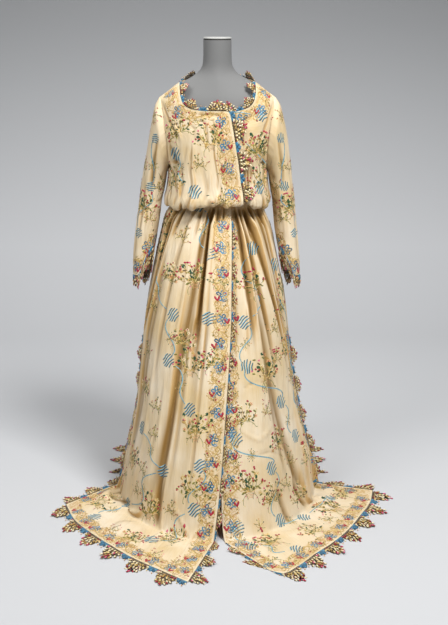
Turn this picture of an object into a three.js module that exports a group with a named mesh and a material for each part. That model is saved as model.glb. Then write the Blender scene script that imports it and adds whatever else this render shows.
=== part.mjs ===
// An entari, a long trained silk robe with three skirts, on a limbless dress form.
// Millimetres, +Z up. The robe faces -Y, its own right side is at -X, and z = 0 is the floor.
// The origin is on the floor under the axis of the form's neck.
//
// Every piece of cloth is a thin wall laid through a grid of points. The points come from
// short tables: rows run down the garment from shoulder to hem, columns run across a panel
// from its front edge to its side edge, along the ridges and troughs of its folds.
import * as THREE from 'three';

// ---------- driving sizes ----------
const WALL = 2.0;            // thickness of the silk walls
const LACE = 1.4;            // thickness of the needle lace edging
const SEAM = 0.4;            // gap kept between two pieces of silk that are sewn together
const LACE_SEAM = 0.8;       // gap between the silk's edge and the root of its lace
const SHOULDER = { neckX: 131, neckZ: 1449, tipX: 198, tipZ: 1400 };
const ROUNDING = 85;         // height over which the cloth turns over the shoulder
const BODICE_POWER = 2.4;    // squareness of the body's sections, 2 is an ellipse
const OVERLAP_INSET = 6.5;   // how far the left front lies behind the right front
const INSET_FULL = 0.30;     // share of the left front that is fully behind
const INSET_END = 0.56;      // share of the left front where it is level again
const TOOTH = 58;            // half of the lace's repeat, from valley to point
const HEM_REACH = { valley: 30, point: 76 };    // how far the lace stands out from the silk
const EDGE_REACH = { valley: 27, point: 52 };
const CUFF_REACH = { valley: 30, point: 58 };
const NECK_REACH = { valley: 24, point: 40 };
const EDGE_LIFT = 3.5;       // the lapped edge's lace stands off the cloth under it
const NECK_CLEAR = 4;        // and the neckline's lace off the form's chest
const ARMHOLE_ROW = 8;       // the row of the underarm, where the side seam starts
const CORNER_ROW = 5;        // the row of the lower corner of the neckline
const BLOUSE_ROW = 12;       // the last row of the bodice that is seen
const SKIRT_ROW = 19;        // the first row of the skirt that is seen
const SLIT_ROW = 24;         // the side slits are open below this row
const CONTACT_ROW = 31;      // the row that meets the floor
const HEM_ROW = 34;
const RIBS = 1120;           // height of the lowest row above the blouse's fold
const LEVEL = { waist: 1000, hip: 790, knee: 480, shin: 140, floor: 1 };
const FORM = { radius: 48, top: 1592, capTop: 1600, capGap: 0.4, bevel: 2, around: 28 };
const POLE = { radius: 12.5, top: 771.7, bottom: 10.3, around: 16 };
const BASE = { radius: 165, height: 10, bevel: 3, around: 32 };
const TIE = { low: 1056, high: 1070, thickness: 2, gap: 0.35, step: 4 };
const CUFF = { slitAt: 6.4, slitHalf: 3.5, slitRise: 1.9, fromRing: 5, overRings: 4 };

// half widths and depths of the upper body by height
const BODY = [
  { z: 1480, side: 202, front: 96, back: 84 },
  { z: 1440, side: 202, front: 110, back: 92 },
  { z: 1400, side: 201, front: 119, back: 100 },
  { z: 1340, side: 200, front: 131, back: 112 },
  { z: 1280, side: 196, front: 142, back: 120 },
  { z: 1220, side: 184, front: 149, back: 125 },
  { z: 1160, side: 172, front: 155, back: 129 },
  { z: 1120, side: 173, front: 161, back: 133 },
];

// the armhole, one row for each row of the panels from the shoulder tip to the underarm
const ARMHOLE = [
  { x: 198, z: 1400 },
  { x: 193, z: 1391 },
  { x: 188, z: 1364 },
  { x: 181, z: 1325 },
  { x: 174.5, z: 1279 },
  { x: 170, z: 1232 },
  { x: 168.3, z: 1193 },
  { x: 170, z: 1167 },
  { x: 172, z: 1157 },
];

// the closed rings of the garment from the ribs to the floor. The blouse hangs over the
// waist: rows 9 to 13 go down, 14 to 16 come back up inside, and the skirt starts at 17.
const RINGS = [
  { row: 9, z: 1120, right: 173, left: 175, front: 161, back: 133, seam: 0, backSeam: 0, power: 2.4 },
  { row: 10, z: 1085, right: 179, left: 180, front: 169, back: 140, seam: 0, backSeam: 0, power: 2.4 },
  { row: 11, z: 1056, right: 187, left: 186, front: 177, back: 146, seam: 0, backSeam: 0, power: 2.4 },
  { row: 12, z: 1040, right: 187, left: 185, front: 176, back: 145, seam: 0, backSeam: 0, power: 2.4 },
  { row: 13, z: 1033, right: 179, left: 177, front: 165, back: 137, seam: 0, backSeam: 0, power: 2.4 },
  { row: 14, z: 1043, right: 171, left: 169, front: 154, back: 130, seam: 0, backSeam: 0, power: 2.4 },
  { row: 15, z: 1062, right: 163, left: 161, front: 140, back: 121, seam: 0, backSeam: 0, power: 2.4 },
  { row: 16, z: 1086, right: 144, left: 142, front: 113, back: 103, seam: 0, backSeam: 0, power: 2.3 },
  { row: 17, z: 1052, right: 144, left: 142, front: 112, back: 103, seam: 0, backSeam: 0, power: 2.3 },
  { row: 18, z: 1030, right: 163, left: 154, front: 129, back: 113, seam: 0, backSeam: 0, power: 2.2 },
  { row: 19, z: 1000, right: 182, left: 168, front: 148, back: 120, seam: -3, backSeam: -3, power: 2.1 },
  { row: 20, z: 950, right: 197, left: 188, front: 172, back: 127, seam: -8, backSeam: -8, power: 2 },
  { row: 21, z: 880, right: 214, left: 204, front: 205, back: 138, seam: -16, backSeam: -16, power: 2 },
  { row: 22, z: 790, right: 233, left: 221, front: 243, back: 152, seam: -26, backSeam: -26, power: 2 },
  { row: 23, z: 690, right: 252, left: 238, front: 284, back: 168, seam: -36, backSeam: -36, power: 2 },
  { row: 24, z: 600, right: 265, left: 248, front: 320, back: 184, seam: -43, backSeam: -43, power: 2 },
  { row: 25, z: 480, right: 276, left: 263, front: 368, back: 206, seam: -53, backSeam: -33, power: 2 },
  { row: 26, z: 360, right: 291, left: 282, front: 413, back: 232, seam: -62, backSeam: -18, power: 2 },
  { row: 27, z: 240, right: 313, left: 308, front: 458, back: 261, seam: -70, backSeam: -4, power: 2 },
  { row: 28, z: 140, right: 335, left: 332, front: 495, back: 290, seam: -77, backSeam: 7, power: 1.95 },
  { row: 29, z: 65, right: 349, left: 345, front: 522, back: 314, seam: -81, backSeam: 12, power: 1.9 },
  { row: 30, z: 22, right: 357, left: 352, front: 541, back: 334, seam: -83, backSeam: 14, power: 1.9 },
  { row: 31, z: 1, right: 363, left: 357, front: 558, back: 350, seam: -84, backSeam: 16, power: 1.9 },
];

// ---------- the robe's right front, which laps over the left one ----------
const RIGHT_FRONT = {
  side: -1,
  inset: 0,
  // the front edge: the neckline down to row 5, then the lapped edge; x is towards the left
  edge: [
    { row: 0, x: -131, z: 1449 }, { row: 1, x: -127, z: 1420 }, { row: 2, x: -120, z: 1393 },
    { row: 3, x: -98, z: 1371 }, { row: 4, x: -40, z: 1362 }, { row: 5, x: 35, z: 1361 },
    { row: 6, x: 52, z: 1300 }, { row: 7, x: 61, z: 1245 }, { row: 8, x: 71, z: 1184 },
    { row: 9, x: 79 }, { row: 10, x: 85 }, { row: 11, x: 87 }, { row: 12, x: 85 },
    { row: 13, x: 79 }, { row: 14, x: 71 }, { row: 15, x: 60 }, { row: 16, x: 47 },
    { row: 17, x: 45 }, { row: 18, x: 46 }, { row: 19, x: 47 }, { row: 20, x: 48 },
    { row: 21, x: 48 }, { row: 22, x: 47 }, { row: 23, x: 46 }, { row: 24, x: 42 },
    { row: 25, x: 34 }, { row: 26, x: 25 }, { row: 27, x: 16 }, { row: 28, x: 6 },
    { row: 29, x: -3 }, { row: 30, x: -9 }, { row: 31, x: -13 },
  ],
  // columns: where each line of the cloth runs at four heights, 0 the front edge and
  // 1 the side edge, and how far it stands out as a ridge or in as a trough
  columns: [
    { waist: 0, hip: 0, knee: 0, floor: 0, outWaist: 0, outHip: 0, outKnee: 0, outShin: 0 },
    { waist: 0.09, hip: 0.10, knee: 0.10, floor: 0.09, outWaist: 3, outHip: 4, outKnee: 4, outShin: 2 },
    { waist: 0.17, hip: 0.18, knee: 0.19, floor: 0.18, outWaist: 4, outHip: 6, outKnee: 5, outShin: 2 },
    { waist: 0.21, hip: 0.24, knee: 0.28, floor: 0.29, outWaist: -12, outHip: -15, outKnee: -12, outShin: -5 },
    { waist: 0.29, hip: 0.33, knee: 0.37, floor: 0.38, outWaist: 1, outHip: -2, outKnee: -4, outShin: -3 },
    { waist: 0.42, hip: 0.47, knee: 0.50, floor: 0.50, outWaist: 2, outHip: 4, outKnee: 6, outShin: 6 },
    { waist: 0.54, hip: 0.61, knee: 0.66, floor: 0.66, outWaist: -2, outHip: 2, outKnee: 3, outShin: -4 },
    { waist: 0.64, hip: 0.74, knee: 0.82, floor: 0.80, outWaist: 5, outHip: 6, outKnee: 5, outShin: 3 },
    { waist: 0.70, hip: 0.79, knee: 0.86, floor: 0.88, outWaist: -17, outHip: -22, outKnee: -15, outShin: -3 },
    { waist: 0.81, hip: 0.87, knee: 0.92, floor: 0.94, outWaist: -3, outHip: -7, outKnee: -8, outShin: -1 },
    { waist: 1, hip: 1, knee: 1, floor: 1, outWaist: 0, outHip: 0, outKnee: -3, outShin: 0 },
  ],
  // height of the blouse's lower edge above or below its ring, across the panel
  dip: [
    { u: 0, dz: 14 }, { u: 0.3, dz: 11 }, { u: 0.5, dz: 6 }, { u: 0.66, dz: -6 },
    { u: 0.8, dz: 1 }, { u: 0.9, dz: -5 }, { u: 1, dz: 2 },
  ],
  // the hem on the floor, from the front corner to the side corner
  hem: [
    { u: 0, x: -89, y: -818 }, { u: 0.14, x: -183, y: -739 }, { u: 0.3, x: -271, y: -662 },
    { u: 0.47, x: -352, y: -573 }, { u: 0.64, x: -428, y: -480 }, { u: 0.82, x: -490, y: -389 },
    { u: 1, x: -535, y: -268 },
  ],
  // rolls and soft folds of the train, as heights over the floor
  swells: [
    { u: 0.90, along: 0.28, du: 0.09, ds: 0.24, height: 16 },
    { u: 0.52, along: 0.45, du: 0.10, ds: 0.40, height: 5 },
    { u: 0.16, along: 0.35, du: 0.07, ds: 0.45, height: 5 },
  ],
};

// ---------- the left front, under the right one at the middle ----------
const LEFT_FRONT = {
  side: 1,
  inset: OVERLAP_INSET,
  edge: [
    { row: 0, x: 131, z: 1449 }, { row: 1, x: 131, z: 1421 }, { row: 2, x: 126, z: 1395 },
    { row: 3, x: 108, z: 1374 }, { row: 4, x: 62, z: 1360 }, { row: 5, x: 12, z: 1351 },
    { row: 6, x: 12, z: 1300 }, { row: 7, x: 12, z: 1245 }, { row: 8, x: 12, z: 1184 },
    { row: 9, x: 12 }, { row: 10, x: 12 }, { row: 11, x: 12 }, { row: 12, x: 12 },
    { row: 13, x: 12 }, { row: 14, x: 12 }, { row: 15, x: 12 }, { row: 16, x: 12 },
    { row: 17, x: 12 }, { row: 18, x: 12 }, { row: 19, x: 12 }, { row: 20, x: 12 },
    { row: 21, x: 12 }, { row: 22, x: 12 }, { row: 23, x: 12 }, { row: 24, x: 12 },
    { row: 25, x: 12 }, { row: 26, x: 12 }, { row: 27, x: 12 }, { row: 28, x: 13 },
    { row: 29, x: 16 }, { row: 30, x: 20 }, { row: 31, x: 26 },
  ],
  columns: [
    { waist: 0, hip: 0, knee: 0, floor: 0, outWaist: 0, outHip: 0, outKnee: 0, outShin: 0 },
    { waist: 0.10, hip: 0.10, knee: 0.10, floor: 0.10, outWaist: -1, outHip: -1, outKnee: 0, outShin: 0 },
    { waist: 0.20, hip: 0.20, knee: 0.21, floor: 0.21, outWaist: -3, outHip: -5, outKnee: -4, outShin: 0 },
    { waist: 0.29, hip: 0.33, knee: 0.36, floor: 0.36, outWaist: 2, outHip: 4, outKnee: 5, outShin: 4 },
    { waist: 0.36, hip: 0.46, knee: 0.55, floor: 0.53, outWaist: -3, outHip: -2, outKnee: -3, outShin: -6 },
    { waist: 0.44, hip: 0.59, knee: 0.74, floor: 0.70, outWaist: 4, outHip: 6, outKnee: 5, outShin: 2 },
    { waist: 0.50, hip: 0.65, knee: 0.83, floor: 0.82, outWaist: -15, outHip: -20, outKnee: 3, outShin: 9 },
    { waist: 0.61, hip: 0.73, knee: 0.88, floor: 0.89, outWaist: 2, outHip: 1, outKnee: -13, outShin: -7 },
    { waist: 0.70, hip: 0.80, knee: 0.93, floor: 0.94, outWaist: -7, outHip: -7, outKnee: -6, outShin: -2 },
    { waist: 0.84, hip: 0.90, knee: 0.97, floor: 0.97, outWaist: 1, outHip: 1, outKnee: -2, outShin: 0 },
    { waist: 1, hip: 1, knee: 1, floor: 1, outWaist: 0, outHip: 0, outKnee: 0, outShin: 0 },
  ],
  dip: [
    { u: 0, dz: 14 }, { u: 0.35, dz: 10 }, { u: 0.55, dz: 0 }, { u: 0.74, dz: -9 },
    { u: 0.88, dz: 5 }, { u: 1, dz: 2 },
  ],
  hem: [
    { u: 0, x: 166, y: -747 }, { u: 0.08, x: 205, y: -764 }, { u: 0.2, x: 257, y: -716 },
    { u: 0.34, x: 313, y: -640 }, { u: 0.5, x: 381, y: -556 }, { u: 0.66, x: 446, y: -454 },
    { u: 0.82, x: 498, y: -345 }, { u: 0.93, x: 541, y: -248 }, { u: 1, x: 562, y: -150 },
  ],
  swells: [
    { u: 0.80, along: 0.22, du: 0.07, ds: 0.26, height: 13 },
    { u: 0.45, along: 0.40, du: 0.10, ds: 0.40, height: 5 },
    { u: 0.22, along: 0.55, du: 0.08, ds: 0.40, height: 4 },
  ],
};

// ---------- the back, one panel from side seam to side seam ----------
const BACK = {
  // half of the top edge: the neckline from the middle, then the shoulder
  top: [
    { u: 0, x: 0, z: 1452 }, { u: 0.2, x: 42, z: 1454 }, { u: 0.38, x: 84, z: 1458 },
    { u: 0.5, x: 112, z: 1456 }, { u: 0.62, x: 131, z: 1449 }, { u: 0.81, x: 165, z: 1424.1 },
    { u: 1, x: 198, z: 1400 },
  ],
  middle: [
    { row: 0, z: 1452 }, { row: 1, z: 1434 }, { row: 2, z: 1406 }, { row: 3, z: 1364 },
    { row: 4, z: 1314 }, { row: 5, z: 1264 }, { row: 6, z: 1224 }, { row: 7, z: 1190 },
    { row: 8, z: 1161 },
  ],
  // columns of one half, from the middle out, with the pleats of the full skirt
  columns: [
    { u: 0, outWaist: 3, outHip: 7, outKnee: 7, outShin: 3 },
    { u: 0.15, outWaist: -5, outHip: -9, outKnee: -8, outShin: -2 },
    { u: 0.31, outWaist: 3, outHip: 7, outKnee: 9, outShin: 4 },
    { u: 0.46, outWaist: -5, outHip: -8, outKnee: -9, outShin: -3 },
    { u: 0.62, outWaist: 3, outHip: 5, outKnee: 6, outShin: 3 },
    { u: 0.81, outWaist: -3, outHip: -5, outKnee: -5, outShin: -1 },
    { u: 1, outWaist: 0, outHip: 0, outKnee: 0, outShin: 0 },
  ],
  dip: [
    { u: 0, dz: 4 }, { u: 0.3, dz: -4 }, { u: 0.6, dz: 3 }, { u: 0.8, dz: -5 }, { u: 1, dz: 2 },
  ],
  slitInset: 13,               // below the slits its sides hang this far inside the fronts
  hem: [
    { u: 0, x: 0, y: 602 }, { u: 0.25, x: 118, y: 585 }, { u: 0.5, x: 226, y: 520 },
    { u: 0.75, x: 306, y: 415 }, { u: 1, x: 352, y: 292 },
  ],
  swells: [
    { u: 0.31, along: 0.4, du: 0.12, ds: 0.5, height: 7 },
    { u: -0.31, along: 0.4, du: 0.12, ds: 0.5, height: 7 },
  ],
};

// ---------- sleeves: sections from the armhole to the wrist ----------
// outer and inner are the two ends of each section, depth is half its size front to back
const SLEEVE = {
  right: [
    { outerX: 214, outerZ: 1374, innerX: 176, innerZ: 1143, depth: 80, midY: -2 },
    { outerX: 226, outerZ: 1322, innerX: 179, innerZ: 1122, depth: 75, midY: -3 },
    { outerX: 239, outerZ: 1252, innerX: 183, innerZ: 1100, depth: 67, midY: -4 },
    { outerX: 253, outerZ: 1175, innerX: 189, innerZ: 1074, depth: 59, midY: -6 },
    { outerX: 266, outerZ: 1104, innerX: 196, innerZ: 1043, depth: 53, midY: -9 },
    { outerX: 275, outerZ: 1036, innerX: 201, innerZ: 1003, depth: 49, midY: -13 },
    { outerX: 286, outerZ: 965, innerX: 209, innerZ: 952, depth: 46, midY: -24 },
    { outerX: 294, outerZ: 900, innerX: 219, innerZ: 898, depth: 44, midY: -32 },
    { outerX: 298, outerZ: 843, innerX: 229, innerZ: 848, depth: 43, midY: -40 },
    { outerX: 298, outerZ: 789, innerX: 239, innerZ: 796, depth: 42, midY: -46 },
  ],
  left: [
    { outerX: 216, outerZ: 1374, innerX: 176, innerZ: 1143, depth: 80, midY: -2 },
    { outerX: 230, outerZ: 1322, innerX: 179, innerZ: 1122, depth: 75, midY: -3 },
    { outerX: 244, outerZ: 1252, innerX: 182, innerZ: 1100, depth: 67, midY: -4 },
    { outerX: 254, outerZ: 1175, innerX: 187, innerZ: 1074, depth: 59, midY: -6 },
    { outerX: 262, outerZ: 1104, innerX: 192, innerZ: 1043, depth: 53, midY: -9 },
    { outerX: 270, outerZ: 1036, innerX: 195, innerZ: 1003, depth: 49, midY: -15 },
    { outerX: 277, outerZ: 965, innerX: 200, innerZ: 952, depth: 46, midY: -24 },
    { outerX: 284, outerZ: 900, innerX: 210, innerZ: 898, depth: 44, midY: -32 },
    { outerX: 288, outerZ: 843, innerX: 221, innerZ: 848, depth: 43, midY: -40 },
    { outerX: 290, outerZ: 789, innerX: 232, innerZ: 796, depth: 42, midY: -46 },
  ],
};

// ---------- the dress form: one smooth limbless torso ----------
const TORSO = [
  { z: 772, side: 140, front: 92, back: 92, power: 2 },
  { z: 782, side: 157, front: 105, back: 105, power: 2 },
  { z: 830, side: 167, front: 115, back: 114, power: 2 },
  { z: 900, side: 163, front: 114, back: 112, power: 2 },
  { z: 965, side: 151, front: 107, back: 105, power: 2 },
  { z: 1020, side: 136, front: 99, back: 95, power: 2 },
  { z: 1065, side: 130, front: 96, back: 91, power: 2 },
  { z: 1110, side: 136, front: 104, back: 95, power: 2 },
  { z: 1165, side: 147, front: 121, back: 102, power: 2 },
  { z: 1220, side: 158, front: 130, back: 107, power: 2 },
  { z: 1270, side: 169, front: 128, back: 108, power: 2 },
  { z: 1320, side: 179, front: 118, back: 105, power: 2 },
  { z: 1360, side: 184, front: 108, back: 99, power: 2 },
  { z: 1388, side: 182, front: 98, back: 91, power: 1.9 },
  { z: 1408, side: 173, front: 90, back: 84, power: 1.75 },
  { z: 1427.2, side: 154, front: 81, back: 77, power: 1.6 },
  { z: 1443.2, side: 131, front: 73, back: 71, power: 1.5 },
  { z: 1459, side: 105, front: 65, back: 65, power: 1.5 },
  { z: 1473, side: 80, front: 58, back: 59, power: 1.6 },
  { z: 1490, side: 60, front: 52, back: 54, power: 1.8 },
  { z: 1512, side: 50, front: 48.5, back: 50, power: 2 },
  { z: 1545, side: 48, front: 48, back: 48, power: 2 },
  { z: 1592, side: 48, front: 48, back: 48, power: 2 },
];

const COLOURS = {
  silk: { color: 0xe6d3ab, roughness: 0.55, metalness: 0 },
  lace: { color: 0x9a8450, roughness: 0.8, metalness: 0 },
  form: { color: 0x9d9d9c, roughness: 0.75, metalness: 0 },
  steel: { color: 0x6d6f72, roughness: 0.4, metalness: 0.8 },
  tape: { color: 0xd9c79d, roughness: 0.8, metalness: 0 },
};

// ---------- helpers ----------
const V = (x, y, z) => new THREE.Vector3(x, y, z);
const clamp = (t) => Math.min(1, Math.max(0, t));
const mix = (a, b, t) => a + (b - a) * t;
const smooth = (t) => clamp(t) * clamp(t) * (3 - 2 * clamp(t));
const hump = (t) => (Math.abs(t) >= 1 ? 0 : (1 - t * t) ** 2);

// smooth curve through one column of a table, sorted by its key either way
function read(table, key, at, column) {
  const rows = table[0][key] <= table[table.length - 1][key] ? table : [...table].reverse();
  const last = rows.length - 1;
  if (at <= rows[0][key]) return rows[0][column];
  if (at >= rows[last][key]) return rows[last][column];
  let i = 0;
  while (rows[i + 1][key] < at) i += 1;
  const slope = (j) => (rows[j + 1][column] - rows[j][column]) / (rows[j + 1][key] - rows[j][key]);
  const bend = (j) => {
    if (j === 0) return slope(0);
    if (j === last) return slope(last - 1);
    const a = slope(j - 1);
    const b = slope(j);
    return a * b <= 0 ? 0 : (2 * a * b) / (a + b);
  };
  const h = rows[i + 1][key] - rows[i][key];
  const t = (at - rows[i][key]) / h;
  const a = rows[i][column];
  const b = rows[i + 1][column];
  return a + t * t * (3 - 2 * t) * (b - a)
    + h * t * (1 - t) * ((1 - t) * bend(i) - t * bend(i + 1));
}

// ---------- the surface of the upper body ----------
const shoulderSlope = (SHOULDER.neckZ - SHOULDER.tipZ) / (SHOULDER.tipX - SHOULDER.neckX);
const shoulderLine = (x) => SHOULDER.neckZ - shoulderSlope * (Math.abs(x) - SHOULDER.neckX);

function bodyDepth(x, z, face) {
  const share = Math.min(1, Math.abs(x) / read(BODY, 'z', z, 'side'));
  const section = (1 - share ** BODICE_POWER) ** (1 / BODICE_POWER);
  const drop = clamp((shoulderLine(x) - z) / ROUNDING);
  return read(BODY, 'z', z, face) * section * Math.sqrt(1 - (1 - drop) ** 2);
}

// a point of the body between two ends of a row, spaced by angle so the sides stay round
function bodyPoint(inner, outer, u, side, face) {
  const half = (z) => read(BODY, 'z', z, 'side');
  const angleAt = (end) => Math.asin(Math.max(-1, Math.min(1, (end.x * side) / half(end.z))));
  const z = mix(inner.z, outer.z, u);
  const x = side * half(z) * Math.sin(mix(angleAt(inner), angleAt(outer), u));
  const depth = bodyDepth(x, z, face);
  return V(x, face === 'front' ? -depth : depth, z);
}

// ---------- the surface of the rings below the ribs ----------
// how far the cloth stands out at column c and height z, in its folds
function foldOut(columns, c, z) {
  const out = (name) => read(columns, 'at', c, name);
  const levels = [
    { z: LEVEL.waist + 40, out: 0 },
    { z: LEVEL.waist, out: out('outWaist') },
    { z: LEVEL.hip, out: out('outHip') },
    { z: LEVEL.knee, out: out('outKnee') },
    { z: LEVEL.shin, out: out('outShin') },
    { z: LEVEL.floor, out: 0 },
  ];
  return read(levels, 'z', z, 'out');
}

function ringPoint(row, angle, side, face, out, seamColumn) {
  const get = (name) => read(RINGS, 'row', row, name);
  const half = get(Math.sin(angle) * side < 0 ? 'right' : 'left');
  const seam = get(seamColumn);
  const depth = (face === 'front' ? get('front') + seam : get('back') - seam);
  const s = Math.abs(Math.sin(angle));
  const power = get('power');
  const round = Math.max(0, 1 - s ** power) ** (1 / power);
  const x = side * Math.sin(angle) * (half + out);
  const y = face === 'front' ? seam - (depth + out) * round : seam + (depth + out) * round;
  return V(x, y, get('z'));
}

const floorSwell = (swells, u, s) => swells.reduce(
  (sum, f) => sum + f.height * hump((u - f.u) / f.du) * hump((s - f.along) / f.ds), 0);

const trainShare = (row) => (row - CONTACT_ROW) / (HEM_ROW - CONTACT_ROW);

// the blouse's lower edge dips unevenly: share of each panel's dip by row
const DIP_SHARE = [
  { row: 9, share: 0 }, { row: 11, share: 0.6 }, { row: 13, share: 1 }, { row: 16, share: 0 },
];
const dipAt = (panel, u, row) => read(DIP_SHARE, 'row', row, 'share') * read(panel.dip, 'u', u, 'dz');
const armholeTable = ARMHOLE.map((a, i) => ({ row: i, x: a.x, z: a.z }));

// one point of a front, at column c (a number, whole on the table's columns) and a row
function frontPoint(panel, c, row) {
  const ringRow = Math.min(row, CONTACT_ROW);
  const zHere = row <= ARMHOLE_ROW ? RIBS : read(RINGS, 'row', ringRow, 'z');
  const place = (name) => read(panel.columns, 'at', c, name);
  const places = [
    { z: LEVEL.waist + 40, u: place('waist') }, { z: LEVEL.hip, u: place('hip') },
    { z: LEVEL.knee, u: place('knee') }, { z: LEVEL.floor, u: place('floor') },
  ];
  const u = read(places, 'z', zHere, 'u');
  if (row <= ARMHOLE_ROW) {
    if (row === 0) {
      const x = mix(SHOULDER.neckX, SHOULDER.tipX, u);
      return V(panel.side * x, -SEAM / 2, shoulderLine(x));
    }
    const upper = panel.edge.slice(0, ARMHOLE_ROW + 1);
    const inner = { x: read(upper, 'row', row, 'x'), z: read(upper, 'row', row, 'z') };
    const armholeX = read(armholeTable, 'row', row, 'x');
    const outer = { x: panel.side * armholeX, z: read(armholeTable, 'row', row, 'z') };
    return bodyPoint(inner, outer, u, panel.side, 'front');
  }
  const edgeX = read(panel.edge, 'row', ringRow, 'x') * panel.side;
  const half = read(RINGS, 'row', ringRow, edgeX * panel.side < 0 ? 'right' : 'left');
  const start = Math.asin(edgeX / half);
  const angle = mix(start, Math.PI / 2, u);
  const p = ringPoint(ringRow, angle, panel.side, 'front', foldOut(panel.columns, c, zHere), 'seam');
  p.z += dipAt(panel, u, ringRow);
  if (row <= CONTACT_ROW) return p;
  const s = trainShare(row);
  return V(
    mix(p.x, read(panel.hem, 'u', u, 'x'), s),
    mix(p.y, read(panel.hem, 'u', u, 'y'), s),
    WALL / 2 + floorSwell(panel.swells, u, s),
  );
}

// one point of the back; c runs from minus the last column to plus the last column
function backPoint(c, row) {
  const side = c < 0 ? -1 : 1;
  const u = read(BACK.columns, 'at', Math.abs(c), 'u');
  if (row === 0) {
    const x = read(BACK.top, 'u', u, 'x');
    const z = read(BACK.top, 'u', u, 'z');
    if (x >= SHOULDER.neckX) return V(side * x, SEAM / 2, shoulderLine(x));
    return V(side * x, bodyDepth(x, z, 'back') + SEAM / 2, z);
  }
  if (row <= ARMHOLE_ROW) {
    const armholeX = read(armholeTable, 'row', row, 'x');
    const outer = { x: side * armholeX, z: read(armholeTable, 'row', row, 'z') };
    return bodyPoint({ x: 0, z: read(BACK.middle, 'row', row, 'z') }, outer, u, side, 'back');
  }
  const ringRow = Math.min(row, CONTACT_ROW);
  const z = read(RINGS, 'row', ringRow, 'z');
  const inset = BACK.slitInset * smooth(ringRow - SLIT_ROW);
  const out = foldOut(BACK.columns, Math.abs(c), z) - inset;
  const p = ringPoint(ringRow, (u * Math.PI) / 2, side, 'back', out, 'backSeam');
  p.z += dipAt(BACK, u, ringRow);
  if (row <= CONTACT_ROW) return p;
  const s = trainShare(row);
  return V(
    mix(p.x, side * read(BACK.hem, 'u', u, 'x'), s),
    mix(p.y, read(BACK.hem, 'u', u, 'y'), s),
    WALL / 2 + floorSwell(BACK.swells, side * u, s),
  );
}

// ---------- grids, normals and closed walls ----------
for (const panel of [RIGHT_FRONT, LEFT_FRONT, BACK]) {
  panel.columns.forEach((column, i) => { column.at = i; });
}

// normals of a grid of points; turn is 1 or -1 so that they point out of the garment
function gridNormals(grid, turn, closed = false) {
  const rows = grid.length;
  const cols = grid[0].length;
  return grid.map((line, i) => line.map((_, j) => {
    const before = closed ? (j + cols - 1) % cols : Math.max(0, j - 1);
    const after = closed ? (j + 1) % cols : Math.min(cols - 1, j + 1);
    const across = grid[i][after].clone().sub(grid[i][before]).normalize();
    const down = grid[Math.min(rows - 1, i + 1)][j].clone().sub(grid[Math.max(0, i - 1)][j]).normalize();
    return across.cross(down).normalize().multiplyScalar(turn);
  }));
}

// a closed wall through a grid, thickness apart along its normals
function wallGeometry(grid, normals, thickness, closed = false) {
  const rows = grid.length;
  const cols = grid[0].length;
  const points = [];
  for (const face of [0.5, -0.5]) {
    grid.forEach((line, i) => line.forEach((p, j) => {
      const q = p.clone().addScaledVector(normals[i][j], face * thickness);
      points.push(q.x, q.y, Math.max(0, q.z));
    }));
  }
  const outer = (i, j) => i * cols + (j % cols);
  const inner = (i, j) => rows * cols + outer(i, j);
  const index = [];
  const quad = (a, b, c, d) => index.push(a, b, c, a, c, d);
  const span = closed ? cols : cols - 1;
  for (let i = 0; i < rows - 1; i += 1) {
    for (let j = 0; j < span; j += 1) {
      quad(outer(i, j), outer(i, j + 1), outer(i + 1, j + 1), outer(i + 1, j));
      quad(inner(i, j), inner(i + 1, j), inner(i + 1, j + 1), inner(i, j + 1));
    }
  }
  for (let j = 0; j < span; j += 1) {
    quad(outer(0, j), inner(0, j), inner(0, j + 1), outer(0, j + 1));
    quad(outer(rows - 1, j), outer(rows - 1, j + 1), inner(rows - 1, j + 1), inner(rows - 1, j));
  }
  if (!closed) {
    for (let i = 0; i < rows - 1; i += 1) {
      quad(outer(i, 0), outer(i + 1, 0), inner(i + 1, 0), inner(i, 0));
      quad(outer(i, cols - 1), inner(i, cols - 1), inner(i + 1, cols - 1), outer(i + 1, cols - 1));
    }
  }
  return closedGeometry(points, index);
}

// a closed body from its points and triangles, turned so that its faces point out
function closedGeometry(points, index) {
  const at = (i) => V(points[3 * i], points[3 * i + 1], points[3 * i + 2]);
  let volume = 0;
  for (let i = 0; i < index.length; i += 3) {
    volume += at(index[i]).dot(at(index[i + 1]).cross(at(index[i + 2])));
  }
  if (volume < 0) index.reverse();
  const geometry = new THREE.BufferGeometry();
  geometry.setAttribute('position', new THREE.Float32BufferAttribute(points, 3));
  geometry.setIndex(index);
  geometry.computeVertexNormals();
  return geometry;
}

const robe = new THREE.Group();

function add(name, geometry, finish) {
  const mesh = new THREE.Mesh(geometry, new THREE.MeshStandardMaterial(COLOURS[finish]));
  mesh.name = name;
  robe.add(mesh);
}

// ---------- seams: both pieces end on the same thickness direction ----------
const shoulderNormal = (side) => V(side * shoulderSlope, 0, 1).normalize();

// the thickness direction round an armhole: up at the tip, forward, down at the underarm
function armholeNormal(k, side, face) {
  const turn = (k / ARMHOLE_ROW) * Math.PI;
  const forward = face === 'front' ? -1 : 1;
  const sideways = side * 0.72 * Math.cos(turn / 2) ** 2;
  return V(sideways, forward * Math.sin(turn), 0.75 * Math.cos(turn)).normalize();
}

// direction along which bodice and sleeve part: down the arm at the tip, outward below it
function partAway(k, side) {
  const t = k / ARMHOLE_ROW;
  return V(side * mix(0.9, 0.75, t), 0, mix(-0.45, -0.1, t)).normalize();
}

function panelGrid(point, columns, lastRow) {
  const grid = [];
  for (let row = 0; row <= lastRow; row += 1) grid.push(columns.map((c) => point(c, row)));
  return grid;
}

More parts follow.
